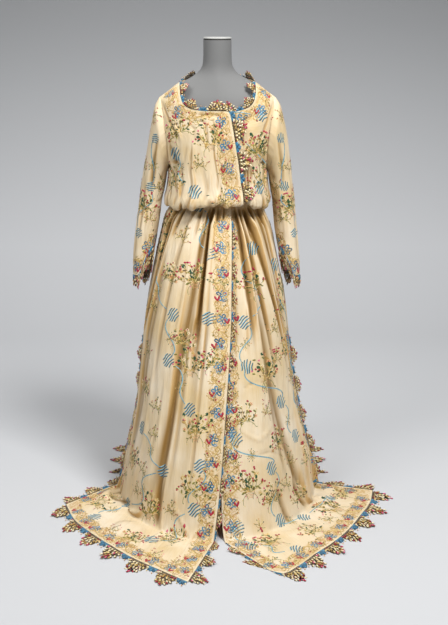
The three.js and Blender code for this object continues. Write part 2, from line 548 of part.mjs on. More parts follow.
// sets the edges of a panel grid: shoulder, armhole, side seam and the flat train
function seamPanel(grid, normals, sides, face) {
  sides.forEach(({ side, j }) => {
    for (let k = 0; k <= ARMHOLE_ROW; k += 1) {
      normals[k][j] = armholeNormal(k, side, face);
      grid[k][j].addScaledVector(partAway(k, side), -SEAM / 2);
      if (k === 0 || k === ARMHOLE_ROW) grid[k][j].y = (face === 'front' ? -SEAM : SEAM) / 2;
    }
    for (let i = ARMHOLE_ROW + 1; i <= SLIT_ROW; i += 1) {
      const mate = normals[i][j];
      normals[i][j] = V(mate.x, 0, mate.z).normalize();
      grid[i][j].y += (face === 'front' ? -SEAM : SEAM) / 2;
    }
  });
  for (let i = CONTACT_ROW + 1; i <= HEM_ROW; i += 1) {
    normals[i] = normals[i].map((n, j) => (grid[i][j].z < WALL ? V(0, 0, 1) : n));
  }
}

// how far a point of the lower front lies behind the one that laps over it
function lapDepth(panel, c, row) {
  const u = read(panel.columns, 'at', c, 'waist');
  const across = 1 - smooth((u - INSET_FULL) / (INSET_END - INSET_FULL));
  const aboveFloor = (CONTACT_ROW - row) / 3;
  return panel.inset * across * smooth(row / CORNER_ROW) * smooth(aboveFloor);
}

function frontPanel(panel) {
  const point = (c, row) => frontPoint(panel, c, row);
  const grid = panelGrid(point, panel.columns.map((_, i) => i), HEM_ROW);
  const faces = gridNormals(grid, -panel.side);
  grid.forEach((line, i) => line.forEach((p, j) => {
    p.addScaledVector(faces[i][j], -lapDepth(panel, j, i));
  }));
  const normals = gridNormals(grid, -panel.side);
  normals[0] = normals[0].map(() => shoulderNormal(panel.side));
  seamPanel(grid, normals, [{ side: panel.side, j: panel.columns.length - 1 }], 'front');
  return { grid, normals };
}

function backPanel() {
  const last = BACK.columns.length - 1;
  const columns = Array.from({ length: 2 * last + 1 }, (_, i) => i - last);
  const grid = panelGrid(backPoint, columns, HEM_ROW);
  const normals = gridNormals(grid, 1);
  normals[0] = normals[0].map((n, j) => (
    Math.abs(grid[0][j].x) >= SHOULDER.neckX - 1 ? shoulderNormal(Math.sign(grid[0][j].x)) : n));
  seamPanel(grid, normals, [{ side: -1, j: 0 }, { side: 1, j: 2 * last }], 'back');
  return { grid, normals };
}

const rightFront = frontPanel(RIGHT_FRONT);
const leftFront = frontPanel(LEFT_FRONT);
const back = backPanel();
add('front_right', wallGeometry(rightFront.grid, rightFront.normals, WALL), 'silk');
add('front_left', wallGeometry(leftFront.grid, leftFront.normals, WALL), 'silk');
add('back', wallGeometry(back.grid, back.normals, WALL), 'silk');

// ---------- sleeves ----------
const SLEEVE_POINTS = 2 * ARMHOLE_ROW;

// a point of a sleeve at angle number k, from 0 on the outside round by the front; near the
// wrist the sections slide up it, which opens the slit on the inner front
function sleevePoint(name, side, k, ring) {
  const sections = SLEEVE[name].map((s, i) => ({ ...s, at: i }));
  const slit = hump((k - CUFF.slitAt) / CUFF.slitHalf) * smooth((ring - CUFF.fromRing) / CUFF.overRings);
  const get = (column) => read(sections, 'at', ring - CUFF.slitRise * slit, column);
  const turn = (k / SLEEVE_POINTS) * 2 * Math.PI;
  const middle = V((get('outerX') + get('innerX')) / 2, get('midY'), (get('outerZ') + get('innerZ')) / 2);
  const half = V((get('outerX') - get('innerX')) / 2, 0, (get('outerZ') - get('innerZ')) / 2);
  const p = middle.addScaledVector(half, Math.cos(turn));
  p.y -= get('depth') * Math.sin(turn);
  p.x *= side;
  return p;
}

function sleeve(name, side) {
  const armhole = Array.from({ length: SLEEVE_POINTS }, (_, k) => {
    const row = k <= ARMHOLE_ROW ? k : SLEEVE_POINTS - k;
    const a = ARMHOLE[row];
    const face = k <= ARMHOLE_ROW ? 'front' : 'back';
    const depth = row === 0 || row === ARMHOLE_ROW ? 0 : bodyDepth(a.x, a.z, face);
    const p = V(side * a.x, face === 'front' ? -depth : depth, a.z);
    return p.addScaledVector(partAway(row, side), SEAM / 2);
  });
  const grid = [armhole];
  SLEEVE[name].forEach((_, ring) => {
    grid.push(Array.from({ length: SLEEVE_POINTS }, (__, k) => sleevePoint(name, side, k, ring)));
  });
  const normals = gridNormals(grid, -side, true);
  normals[0] = armhole.map((_, k) => {
    const row = k <= ARMHOLE_ROW ? k : SLEEVE_POINTS - k;
    return armholeNormal(row, side, k <= ARMHOLE_ROW ? 'front' : 'back');
  });
  return { grid, normals };
}

const sleeves = { right: sleeve('right', -1), left: sleeve('left', 1) };
Object.entries(sleeves).forEach(([name, { grid, normals }]) => {
  add(`sleeve_${name}`, wallGeometry(grid, normals, WALL, true), 'silk');
});

// ---------- the tape at the waist, laid on the panels' own points ----------
const NARROW_ROW = 16;       // the tape lies between this row and the next
const heightOf = (row) => read(RINGS, 'row', row, 'z');

function waistTie() {
  const lift = WALL / 2 + TIE.gap + TIE.thickness / 2;
  const upper = heightOf(NARROW_ROW);
  const drop = upper - heightOf(NARROW_ROW + 1);
  const column = (panel, j) => [TIE.low, (TIE.low + TIE.high) / 2, TIE.high].map((z) => {
    const here = panel.grid[NARROW_ROW][j].clone();
    const p = here.lerp(panel.grid[NARROW_ROW + 1][j], (upper - z) / drop);
    const n = panel.normals[NARROW_ROW][j].clone().add(panel.normals[NARROW_ROW + 1][j]);
    return p.addScaledVector(n.setZ(0).normalize(), lift);
  });
  const right = RIGHT_FRONT.columns.map((_, j) => column(rightFront, j)).reverse();
  const step = right[right.length - 1].map((p) => p.clone().add(V(TIE.step, 0.2, 0)));
  const clearOfStep = step[0].x + 3 * TIE.step;
  const left = LEFT_FRONT.columns.map((_, j) => column(leftFront, j)).filter((c) => c[0].x > clearOfStep);
  const rear = back.grid[0].map((_, j) => column(back, j)).reverse().slice(1, -1);
  const loop = [...right, step, ...left, ...rear];
  const grid = [0, 1, 2].map((i) => loop.map((c) => c[i]));
  const normals = gridNormals(grid, 1, true);
  return wallGeometry([grid[0], grid[2]], [normals[1], normals[1]], TIE.thickness, true);
}
add('waist_tie', waistTie(), 'tape');

// ---------- the needle lace edging ----------
// a toothed strip sewn along an edge; line holds the edge's points with their out direction
// and thickness direction, and the strip follows every one of them
function laceGeometry(line, reach, lift) {
  const path = [];
  let tooth = 0;
  for (let i = 0; i < line.length - 1; i += 1) {
    const steps = Math.max(1, Math.round(line[i].p.distanceTo(line[i + 1].p) / TOOTH));
    for (let s = 0; s < steps; s += 1) {
      path.push({ ...between(line[i], line[i + 1], s / steps), tooth });
      tooth += 1;
    }
  }
  path.push({ ...line[line.length - 1], tooth });
  const grid = [path.map(({ p, out }) => p.clone().addScaledVector(out, LACE_SEAM)), path.map((e) => {
    const far = (e.tooth % 2 ? reach.point : reach.valley) * (e.share ?? 1);
    return e.p.clone().addScaledVector(e.out, far).addScaledVector(e.n, lift);
  })];
  grid.forEach((g) => g.forEach((p) => { p.z = Math.max(p.z, LACE / 2); }));
  const normals = [path.map((e) => e.n), path.map((e) => e.n)];
  return wallGeometry(grid, normals, LACE);
}

const between = (a, b, t) => ({
  p: a.p.clone().lerp(b.p, t),
  out: a.out.clone().lerp(b.out, t).normalize(),
  n: a.n.clone().lerp(b.n, t).normalize(),
  share: mix(a.share ?? 1, b.share ?? 1, t),
});

// the front edge of a front between two rows
function frontEdge({ grid, normals }, from, to, shares = []) {
  const line = [];
  for (let i = from; i <= to; i += 1) {
    const out = grid[i][0].clone().sub(grid[i][1]);
    out.addScaledVector(normals[i][0], -out.dot(normals[i][0])).normalize();
    line.push({ p: grid[i][0], out, n: normals[i][0], share: shares[i - CONTACT_ROW] ?? 1 });
  }
  return line;
}

// the hem of a panel, column by column
function hemEdge({ grid }) {
  const last = grid.length - 1;
  return grid[last].map((p, j) => {
    const out = p.clone().sub(grid[last - 1][j]).setZ(0).normalize();
    return { p, out, n: V(0, 0, 1) };
  });
}

// a side slit from its top to the hem; steer gives the direction the lace hangs in
function slitEdge({ grid }, j, steer, start) {
  const line = [];
  for (let i = SLIT_ROW; i <= HEM_ROW; i += 1) {
    const { out, n } = steer(i);
    line.push({ p: grid[i][j], out: out.normalize(), n: n.normalize(), share: i === SLIT_ROW ? 0.3 : 1 });
  }
  return [between(line[0], line[1], start), ...line.slice(1)];
}

// 0 where the edge hangs, 1 from the row where it lies on the floor
const floorShare = (i) => smooth((i - 27) / (CONTACT_ROW - 27));

// the fronts' slit lace flares out past the side and back; flare is its sideways share
const frontSteer = (side, flare) => (i) => {
  const t = floorShare(i);
  const hung = read(flare, 'row', i, 'share');
  return {
    out: V(side * mix(hung, 0.72, t), mix(0.86, 0.69, t), mix(-0.15, 0, t)),
    n: V(side * mix(0.87, 0, t), mix(-hung, 0, t), mix(0, 1, t)),
  };
};
const FLARE_LEFT = [{ row: 24, share: 0.5 }, { row: 27, share: 0.5 }];
const FLARE_RIGHT = [
  { row: 24, share: 0.5 }, { row: 25, share: 0.45 }, { row: 26, share: 0.1 }, { row: 27, share: 0 },
];

// the back's slit lace lies forward, inside the fronts, and turns out on the floor
const backSteer = (side) => (i) => {
  const t = floorShare(i);
  return {
    out: V(side * mix(-0.22, 1, t), mix(-0.97, -0.1, t), 0),
    n: V(side * mix(0.97, 0, t), mix(-0.22, 0, t), mix(0, 1, t)),
  };
};

const hang = (name, line, reach, lift = 0) => add(name, laceGeometry(line, reach, lift), 'lace');

// shares of the reach on the train's rows, short where the two fronts part
const PARTING_RIGHT = [0.4, 0.9, 1.2, 1.4];
const PARTING_LEFT = [0.15, 0.8, 1.2, 1.4];
const bodiceEdge = frontEdge(rightFront, CORNER_ROW, BLOUSE_ROW);
const skirtEdge = frontEdge(rightFront, SKIRT_ROW, HEM_ROW, PARTING_RIGHT);
hang('lace_edge_right_bodice', bodiceEdge, EDGE_REACH, EDGE_LIFT);
hang('lace_edge_right_skirt', skirtEdge, EDGE_REACH, EDGE_LIFT);
hang('lace_edge_left_skirt', frontEdge(leftFront, CONTACT_ROW, HEM_ROW, PARTING_LEFT), EDGE_REACH);
hang('lace_hem_right', hemEdge(rightFront), HEM_REACH);
hang('lace_hem_left', hemEdge(leftFront), HEM_REACH);
hang('lace_hem_back', hemEdge(back), HEM_REACH);
const lastColumn = (panel) => panel.grid[0].length - 1;
const rightSlit = slitEdge(rightFront, lastColumn(rightFront), frontSteer(-1, FLARE_RIGHT), 0.3);
const leftSlit = slitEdge(leftFront, lastColumn(leftFront), frontSteer(1, FLARE_LEFT), 0.3);
hang('lace_slit_right', rightSlit, EDGE_REACH);
hang('lace_slit_left', leftSlit, EDGE_REACH);
hang('lace_slit_back_right', slitEdge(back, 0, backSteer(-1), 0.7), EDGE_REACH);
hang('lace_slit_back_left', slitEdge(back, lastColumn(back), backSteer(1), 0.7), EDGE_REACH);

// the neckline's lace leans inward over the form's chest and back
function torsoDepth(x, z, face) {
  const share = Math.min(0.98, Math.abs(x) / read(TORSO, 'z', z, 'side'));
  const power = read(TORSO, 'z', z, 'power');
  return read(TORSO, 'z', z, face) * (1 - share ** power) ** (1 / power);
}

function neckLace(name, { grid, normals }, places, face) {
  const forward = face === 'front' ? -1 : 1;
  const centre = V(0, forward > 0 ? 20 : -40, 1500);
  const points = places.map(([i, j]) => grid[i][j]);
  const line = places.map(([i, j], k) => {
    const p = grid[i][j];
    const after = points[Math.min(points.length - 1, k + 1)];
    const along = after.clone().sub(points[Math.max(0, k - 1)]).normalize();
    const inward = along.clone().cross(normals[i][j]).normalize();
    if (inward.dot(centre.clone().sub(p)) < 0) inward.negate();
    const tip = p.clone().addScaledVector(inward, NECK_REACH.point);
    const clear = torsoDepth(tip.x, tip.z, face) + NECK_CLEAR;
    tip.y = forward * Math.max(forward * tip.y, clear);
    const out = tip.sub(p).normalize();
    const n = along.cross(out).normalize();
    return { p, out, n: n.y * forward + n.z * 0.4 < 0 ? n.negate() : n };
  });
  hang(name, line, NECK_REACH);
}

const neckRows = Array.from({ length: CORNER_ROW + 1 }, (_, i) => [i, 0]);
const neckColumns = back.grid[0].map((_, j) => [0, j])
  .filter(([, j]) => Math.abs(back.grid[0][j].x) < SHOULDER.neckX + 1);
neckLace('lace_neck_right', rightFront, neckRows, 'front');
neckLace('lace_neck_left', leftFront, neckRows, 'front');
neckLace('lace_neck_back', back, neckColumns, 'back');

// the cuffs' lace hangs from the wrist and fills the slit
function cuffLace(name, { grid, normals }) {
  const last = grid.length - 1;
  const loop = grid[last].map((p, k) => {
    const out = p.clone().sub(grid[last - 1][k]).normalize();
    return { p, out, n: normals[last][k] };
  });
  const stop = loop[0].p.clone().lerp(loop[loop.length - 1].p, 0.02);
  loop.push({ ...loop[0], p: stop });
  hang(`lace_cuff_${name}`, loop, CUFF_REACH);
}
Object.entries(sleeves).forEach(([name, tube]) => cuffLace(name, tube));

// ---------- dress form, cap, pole and base ----------
function torsoGeometry() {
  const { around } = FORM;
  const bulge = (value, power) => Math.sign(value) * Math.abs(value) ** (2 / power);
  const points = [];
  TORSO.forEach((ring) => {
    for (let k = 0; k < around; k += 1) {
      const turn = (k / around) * 2 * Math.PI;
      const depth = Math.cos(turn) > 0 ? ring.front : ring.back;
      points.push(ring.side * bulge(Math.sin(turn), ring.power));
      points.push(-depth * bulge(Math.cos(turn), ring.power), ring.z);
    }
  });
  const index = [];
  const top = (TORSO.length - 1) * around;
  const lowCentre = points.length / 3;
  points.push(0, 0, TORSO[0].z, 0, 0, TORSO[TORSO.length - 1].z);
  for (let k = 0; k < around; k += 1) {
    const next = (k + 1) % around;
    for (let a = k, b = next; a < top; a += around, b += around) {
      index.push(a, b, b + around, a, b + around, a + around);
    }
    index.push(lowCentre, next, k, lowCentre + 1, top + k, top + next);
  }
  return closedGeometry(points, index);
}
add('dress_form', torsoGeometry(), 'form');

// a turned solid from a profile of radius and height that starts and ends on the axis
function turned(profile, around) {
  const geometry = new THREE.LatheGeometry(profile.map(([r, z]) => new THREE.Vector2(r, z)), around);
  return geometry.rotateX(Math.PI / 2);
}
const capBottom = FORM.top + FORM.capGap;
add('neck_cap', turned([
  [0, capBottom], [FORM.radius - FORM.bevel, capBottom], [FORM.radius, capBottom + FORM.bevel],
  [FORM.radius, FORM.capTop - FORM.bevel], [FORM.radius - FORM.bevel, FORM.capTop], [0, FORM.capTop],
], FORM.around), 'form');
add('stand_pole', turned([
  [0, POLE.bottom], [POLE.radius, POLE.bottom], [POLE.radius, POLE.top], [0, POLE.top],
], POLE.around), 'steel');
add('stand_base', turned([
  [0, 0], [BASE.radius, 0], [BASE.radius, BASE.height - BASE.bevel],
  [BASE.radius - BASE.bevel, BASE.height], [0, BASE.height],
], BASE.around), 'steel');

export default robe;
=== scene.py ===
# %% [markdown]
# # An entari on its dress form
# An entari is a long Ottoman robe with a scoop neck, narrow sleeves and three trained skirts.
# This one is fine cream silk, embroidered all over in silk floss and gilt thread and edged with
# oya, a coloured needle lace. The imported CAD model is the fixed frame: it says where each piece
# lies, and this script gives each one its real surface. Sizes in the tables are millimetres.

# %% The frame
import math
import bmesh
import bpy
import numpy as np
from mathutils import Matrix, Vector


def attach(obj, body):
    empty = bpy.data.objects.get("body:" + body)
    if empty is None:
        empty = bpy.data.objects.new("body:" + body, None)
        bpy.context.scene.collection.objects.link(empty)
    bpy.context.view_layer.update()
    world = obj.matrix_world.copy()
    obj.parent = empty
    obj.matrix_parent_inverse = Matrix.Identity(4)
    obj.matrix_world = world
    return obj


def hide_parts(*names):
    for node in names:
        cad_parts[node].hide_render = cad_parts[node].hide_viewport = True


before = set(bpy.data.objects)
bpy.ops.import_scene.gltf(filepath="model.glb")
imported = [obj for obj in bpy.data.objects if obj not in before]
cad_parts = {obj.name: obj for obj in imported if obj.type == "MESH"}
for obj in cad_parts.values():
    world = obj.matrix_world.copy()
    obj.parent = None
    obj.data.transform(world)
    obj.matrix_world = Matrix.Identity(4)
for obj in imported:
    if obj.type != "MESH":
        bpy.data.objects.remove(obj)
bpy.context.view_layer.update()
MM = 0.001


# %% [markdown]
# ## Curves through short tables
# A maker's pattern gives a few measures and the cloth runs smoothly between them. Each table
# below has named columns and one row for each section, and `curve` draws a smooth line
# through them that never swings past a measure. Steeper joins than neighbours are evened out,
# so folds keep their depth.

# %% Reading tables
def table(names, *rows):
    """a dictionary of columns from rows of numbers"""
    return dict(zip(names.split(), np.array(rows, float).T))


def curve(keys, values, at):
    """the smooth line through values at keys, read at one place or many"""
    if keys[0] > keys[-1]:
        keys, values = keys[::-1], values[::-1]
    keys, values, at = np.asarray(keys, float), np.asarray(values, float), np.asarray(at, float)
    step = np.diff(keys).reshape((-1,) + (1,) * (values.ndim - 1))
    slope = np.diff(values, axis=0) / step
    before, after = slope[:-1], slope[1:]
    total = np.where(before + after == 0, 1, before + after)
    bend = np.where(before * after <= 0, 0, 2 * before * after / total)
    bend = np.concatenate([slope[:1], bend, slope[-1:]])
    at = np.clip(at, keys[0], keys[-1])
    i = np.clip(np.searchsorted(keys, at, side="right") - 1, 0, len(keys) - 2)
    h = keys[i + 1] - keys[i]
    t = (at - keys[i]) / h
    if values.ndim > 1 and at.ndim:
        h, t = (v.reshape((-1,) + (1,) * (values.ndim - 1)) for v in (h, t))
    rise = t * t * (3 - 2 * t) * (values[i + 1] - values[i])
    return values[i] + rise + h * t * (1 - t) * ((1 - t) * bend[i] - t * bend[i + 1])


def read(rows, key, at, column):
    return curve(rows[key], rows[column], at)


def smooth(t):
    t = np.clip(t, 0, 1)
    return t * t * (3 - 2 * t)


def hump(t):
    return np.where(np.abs(t) >= 1, 0, (1 - np.minimum(np.abs(t), 1) ** 2) ** 2)


# %% [markdown]
# ## The robe's measures
# Rows run down the garment: 0 is the shoulder seam, 8 the underarm, 12 the blouse's lower edge,
# where the bodice hangs over the waist, 16 the waist tape inside it, 31 the line where the
# skirts meet the floor and 34 the hem of the train. Columns run across a panel along the
# ridges and troughs of its folds, from 0 at the front edge. The front edges have a height of
# their own down to the underarm; below it they keep to the heights of the rings.

# %% Body, armhole and rings
WALL, SLIT_ROW, CONTACT_ROW, HEM_ROW, ARMHOLE_ROW = 2.0, 24, 31, 34, 8
NECK_X, NECK_Z, TIP_X, TIP_Z, ROUNDING, POWER = 131, 1449, 198, 1400, 85, 2.4
LEVELS = np.array([1040, 1000, 790, 480, 140, 1])
PLACES = np.array([1040, 790, 480, 1])
BODY = table(
    "z side front back",
    (1480, 202, 96, 84), (1440, 202, 110, 92), (1400, 201, 119, 100), (1340, 200, 131, 112),
    (1280, 196, 142, 120), (1220, 184, 149, 125), (1160, 172, 155, 129), (1120, 173, 161, 133))
ARMHOLE = table(
    "row x z",
    (0, 198, 1400), (1, 193, 1391), (2, 188, 1364), (3, 181, 1325), (4, 174.5, 1279),
    (5, 170, 1232), (6, 168.3, 1193), (7, 170, 1167), (8, 172, 1157))
RINGS = table(
    "row z right left front back seam back_seam power",
    (9, 1120, 173, 175, 161, 133, 0, 0, 2.4), (10, 1085, 179, 180, 169, 140, 0, 0, 2.4),
    (11, 1056, 187, 186, 177, 146, 0, 0, 2.4), (12, 1040, 187, 185, 176, 145, 0, 0, 2.4),
    (13, 1033, 179, 177, 165, 137, 0, 0, 2.4), (14, 1043, 171, 169, 154, 130, 0, 0, 2.4),
    (15, 1062, 163, 161, 140, 121, 0, 0, 2.4), (16, 1086, 144, 142, 113, 103, 0, 0, 2.3),
    (17, 1052, 144, 142, 112, 103, 0, 0, 2.3), (18, 1030, 163, 154, 129, 113, 0, 0, 2.2),
    (19, 1000, 182, 168, 148, 120, -3, -3, 2.1), (20, 950, 197, 188, 172, 127, -8, -8, 2),
    (21, 880, 214, 204, 205, 138, -16, -16, 2), (22, 790, 233, 221, 243, 152, -26, -26, 2),
    (23, 690, 252, 238, 284, 168, -36, -36, 2), (24, 600, 265, 248, 320, 184, -43, -43, 2),
    (25, 480, 276, 263, 368, 206, -53, -33, 2), (26, 360, 291, 282, 413, 232, -62, -18, 2),
    (27, 240, 313, 308, 458, 261, -70, -4, 2), (28, 140, 335, 332, 495, 290, -77, 7, 1.95),
    (29, 65, 349, 345, 522, 314, -81, 12, 1.9), (30, 22, 357, 352, 541, 334, -83, 14, 1.9),
    (31, 1, 363, 357, 558, 350, -84, 16, 1.9))
DIP_SHARE = table("row share", (9, 0), (11, 0.6), (13, 1), (16, 0))

# %% The right front, which laps over the left one
RIGHT = dict(
    side=-1, inset=0,
    edge=table(
        "row x",
        (0, -131), (1, -127), (2, -120), (3, -98), (4, -40), (5, 35), (6, 52), (7, 61), (8, 71),
        (9, 79), (10, 85), (11, 87), (12, 85), (13, 79), (14, 71), (15, 60), (16, 47), (17, 45),
        (18, 46), (19, 47), (20, 48), (21, 48), (22, 47), (23, 46), (24, 42), (25, 34), (26, 25),
        (27, 16), (28, 6), (29, -3), (30, -9), (31, -13)),
    edge_z=(1449, 1420, 1393, 1371, 1362, 1361, 1300, 1245, 1184),
    columns=table(
        "at waist hip knee floor out_waist out_hip out_knee out_shin",
        (0, 0, 0, 0, 0, 0, 0, 0, 0), (1, 0.09, 0.10, 0.10, 0.09, 3, 4, 4, 2),
        (2, 0.17, 0.18, 0.19, 0.18, 4, 6, 5, 2), (3, 0.21, 0.24, 0.28, 0.29, -12, -15, -12, -5),
        (4, 0.29, 0.33, 0.37, 0.38, 1, -2, -4, -3), (5, 0.42, 0.47, 0.50, 0.50, 2, 4, 6, 6),
        (6, 0.54, 0.61, 0.66, 0.66, -2, 2, 3, -4), (7, 0.64, 0.74, 0.82, 0.80, 5, 6, 5, 3),
        (8, 0.70, 0.79, 0.86, 0.88, -17, -22, -15, -3), (9, 0.81, 0.87, 0.92, 0.94, -3, -7, -8, -1),
        (10, 1, 1, 1, 1, 0, 0, -3, 0)),
    dip=table("u dz", (0, 14), (0.3, 11), (0.5, 6), (0.66, -6), (0.8, 1), (0.9, -5), (1, 2)),
    hem=table(
        "u x y",
        (0, -89, -818), (0.14, -183, -739), (0.3, -271, -662), (0.47, -352, -573),
        (0.64, -428, -480), (0.82, -490, -389), (1, -535, -268)),
    swells=table(
        "u along du ds height",
        (0.90, 0.28, 0.09, 0.24, 16), (0.52, 0.45, 0.10, 0.40, 5), (0.16, 0.35, 0.07, 0.45, 5)))

# %% The left front, under the right one at the middle
LEFT = dict(
    side=1, inset=6.5,
    edge=table(
        "row x",
        (0, 131), (1, 131), (2, 126), (3, 108), (4, 62), (5, 12), (6, 12), (7, 12), (8, 12),
        (9, 12), (27, 12), (28, 13), (29, 16), (30, 20), (31, 26)),
    edge_z=(1449, 1421, 1395, 1374, 1360, 1351, 1300, 1245, 1184),
    columns=table(
        "at waist hip knee floor out_waist out_hip out_knee out_shin",
        (0, 0, 0, 0, 0, 0, 0, 0, 0), (1, 0.10, 0.10, 0.10, 0.10, -1, -1, 0, 0),
        (2, 0.20, 0.20, 0.21, 0.21, -3, -5, -4, 0), (3, 0.29, 0.33, 0.36, 0.36, 2, 4, 5, 4),
        (4, 0.36, 0.46, 0.55, 0.53, -3, -2, -3, -6), (5, 0.44, 0.59, 0.74, 0.70, 4, 6, 5, 2),
        (6, 0.50, 0.65, 0.83, 0.82, -15, -20, 3, 9), (7, 0.61, 0.73, 0.88, 0.89, 2, 1, -13, -7),
        (8, 0.70, 0.80, 0.93, 0.94, -7, -7, -6, -2), (9, 0.84, 0.90, 0.97, 0.97, 1, 1, -2, 0),
        (10, 1, 1, 1, 1, 0, 0, 0, 0)),
    dip=table("u dz", (0, 14), (0.35, 10), (0.55, 0), (0.74, -9), (0.88, 5), (1, 2)),
    hem=table(
        "u x y",
        (0, 166, -747), (0.08, 205, -764), (0.2, 257, -716), (0.34, 313, -640), (0.5, 381, -556),
        (0.66, 446, -454), (0.82, 498, -345), (0.93, 541, -248), (1, 562, -150)),
    swells=table(
        "u along du ds height",
        (0.80, 0.22, 0.07, 0.26, 13), (0.45, 0.40, 0.10, 0.40, 5), (0.22, 0.55, 0.08, 0.40, 4)))

# %% The back, one panel from side seam to side seam
BACK = dict(
    top=table(
        "u x z",
        (0, 0, 1452), (0.2, 42, 1454), (0.38, 84, 1458), (0.5, 112, 1456), (0.62, 131, 1449),
        (0.81, 165, 1424.1), (1, 198, 1400)),
    middle=table(
        "row z",
        (0, 1452), (1, 1434), (2, 1406), (3, 1364), (4, 1314), (5, 1264), (6, 1224), (7, 1190),
        (8, 1161)),
    columns=table(
        "at u out_waist out_hip out_knee out_shin",
        (0, 0, 3, 7, 7, 3), (1, 0.15, -5, -9, -8, -2), (2, 0.31, 3, 7, 9, 4),
        (3, 0.46, -5, -8, -9, -3), (4, 0.62, 3, 5, 6, 3), (5, 0.81, -3, -5, -5, -1),
        (6, 1, 0, 0, 0, 0)),
    dip=table("u dz", (0, 4), (0.3, -4), (0.6, 3), (0.8, -5), (1, 2)),
    slit_inset=13,
    hem=table("u x y", (0, 0, 602), (0.25, 118, 585), (0.5, 226, 520), (0.75, 306, 415),
              (1, 352, 292)),
    swells=table("u along du ds height", (0.31, 0.4, 0.12, 0.5, 7), (-0.31, 0.4, 0.12, 0.5, 7)))

# %% The sleeves, from the armhole to the wrist
SECTION = "outer_x outer_z inner_x inner_z depth mid_y"
SLEEVE = {
    "right": table(
        SECTION,
        (214, 1374, 176, 1143, 80, -2), (226, 1322, 179, 1122, 75, -3),
        (239, 1252, 183, 1100, 67, -4), (253, 1175, 189, 1074, 59, -6),
        (266, 1104, 196, 1043, 53, -9), (275, 1036, 201, 1003, 49, -13),
        (286, 965, 209, 952, 46, -24), (294, 900, 219, 898, 44, -32),
        (298, 843, 229, 848, 43, -40), (298, 789, 239, 796, 42, -46)),
    "left": table(
        SECTION,
        (216, 1374, 176, 1143, 80, -2), (230, 1322, 179, 1122, 75, -3),
        (244, 1252, 182, 1100, 67, -4), (254, 1175, 187, 1074, 59, -6),
        (262, 1104, 192, 1043, 53, -9), (270, 1036, 195, 1003, 49, -15),
        (277, 965, 200, 952, 46, -24), (284, 900, 210, 898, 44, -32),
        (288, 843, 221, 848, 43, -40), (290, 789, 232, 796, 42, -46)),
}
CUFF = dict(slit_at=0.40, slit_half=0.219, rise=1.9, from_ring=5, over=4)

# %% The dress form
TORSO = table(
    "z side front back power",
    (772, 140, 92, 92, 2), (782, 157, 105, 105, 2), (830, 167, 115, 114, 2),
    (900, 163, 114, 112, 2), (965, 151, 107, 105, 2), (1020, 136, 99, 95, 2),
    (1065, 130, 96, 91, 2), (1110, 136, 104, 95, 2), (1165, 147, 121, 102, 2),
    (1220, 158, 130, 107, 2), (1270, 169, 128, 108, 2), (1320, 179, 118, 105, 2),
    (1360, 184, 108, 99, 2), (1388, 182, 98, 91, 1.9), (1408, 173, 90, 84, 1.75),
    (1427.2, 154, 81, 77, 1.6), (1443.2, 131, 73, 71, 1.5), (1459, 105, 65, 65, 1.5),
    (1473, 80, 58, 59, 1.6), (1490, 60, 52, 54, 1.8), (1512, 50, 48.5, 50, 2),
    (1545, 48, 48, 48, 2), (1592, 48, 48, 48, 2))


# %% [markdown]
# ## From measures to surfaces
# The same rules that shape the solids give the fine cloth, so the two agree everywhere. A row
# of a panel is worked out at once for all its columns: on the bodice between the neckline and
# the armhole, below it on the rounded rings of the skirt, and on the floor between the last
# ring and the hem.

# %% Rows of the panels
def body_depth(x, z, face):
    share = np.minimum(1, np.abs(x) / read(BODY, "z", z, "side"))
    section = (1 - share ** POWER) ** (1 / POWER)
    line = NECK_Z - (NECK_Z - TIP_Z) / (TIP_X - NECK_X) * (np.abs(x) - NECK_X)
    drop = np.clip((line - z) / ROUNDING, 0, 1)
    return read(BODY, "z", z, face) * section * np.sqrt(1 - (1 - drop) ** 2)


def bodice_row(inner, outer, u, side, face):
    def angle(end):
        return math.asin(max(-1, min(1, end[0] * side / float(read(BODY, "z", end[1], "side")))))
    z = inner[1] + (outer[1] - inner[1]) * u
    turn = angle(inner) + (angle(outer) - angle(inner)) * u
    x = side * read(BODY, "z", z, "side") * np.sin(turn)
    depth = body_depth(x, z, face)
    return np.stack([x, -depth if face == "front" else depth, z], axis=1)


def fold_out(columns, c, z):
    names = ("out_waist", "out_hip", "out_knee", "out_shin")
    outs = [read(columns, "at", c, name) for name in names]
    return curve(LEVELS, np.array([0 * outs[0], *outs, 0 * outs[0]]), z)


def ring_row(row, turn, side, face, out):
    get = {name: float(read(RINGS, "row", row, name)) for name in RINGS}
    seam = get["seam"] if face == "front" else get["back_seam"]
    depth = get["front"] + seam if face == "front" else get["back"] - seam
    half = np.where(np.sin(turn) * side < 0, get["right"], get["left"])
    round_ = np.maximum(0, 1 - np.abs(np.sin(turn)) ** get["power"]) ** (1 / get["power"])
    y = seam + (-1 if face == "front" else 1) * (depth + out) * round_
    return np.stack([side * np.sin(turn) * (half + out), y, 0 * y + get["z"]], axis=1)


def settle(panel, p, u, row, side=1):
    """lets a row dip with the blouse's edge; a row of the train lies on its way to the hem"""
    p[:, 2] += read(DIP_SHARE, "row", row, "share") * read(panel["dip"], "u", u, "dz")
    if row <= CONTACT_ROW:
        return p
    s = (row - CONTACT_ROW) / (HEM_ROW - CONTACT_ROW)
    swells = zip(*(panel["swells"][k] for k in ("u", "along", "du", "ds", "height")))
    height = sum(h * hump((side * u - at) / du) * hump((s - along) / ds)
                 for at, along, du, ds, h in swells)
    hem = np.stack([side * read(panel["hem"], "u", u, "x"), read(panel["hem"], "u", u, "y")], axis=1)
    return np.column_stack([p[:, :2] + (hem - p[:, :2]) * s, WALL / 2 + height + 0 * u])


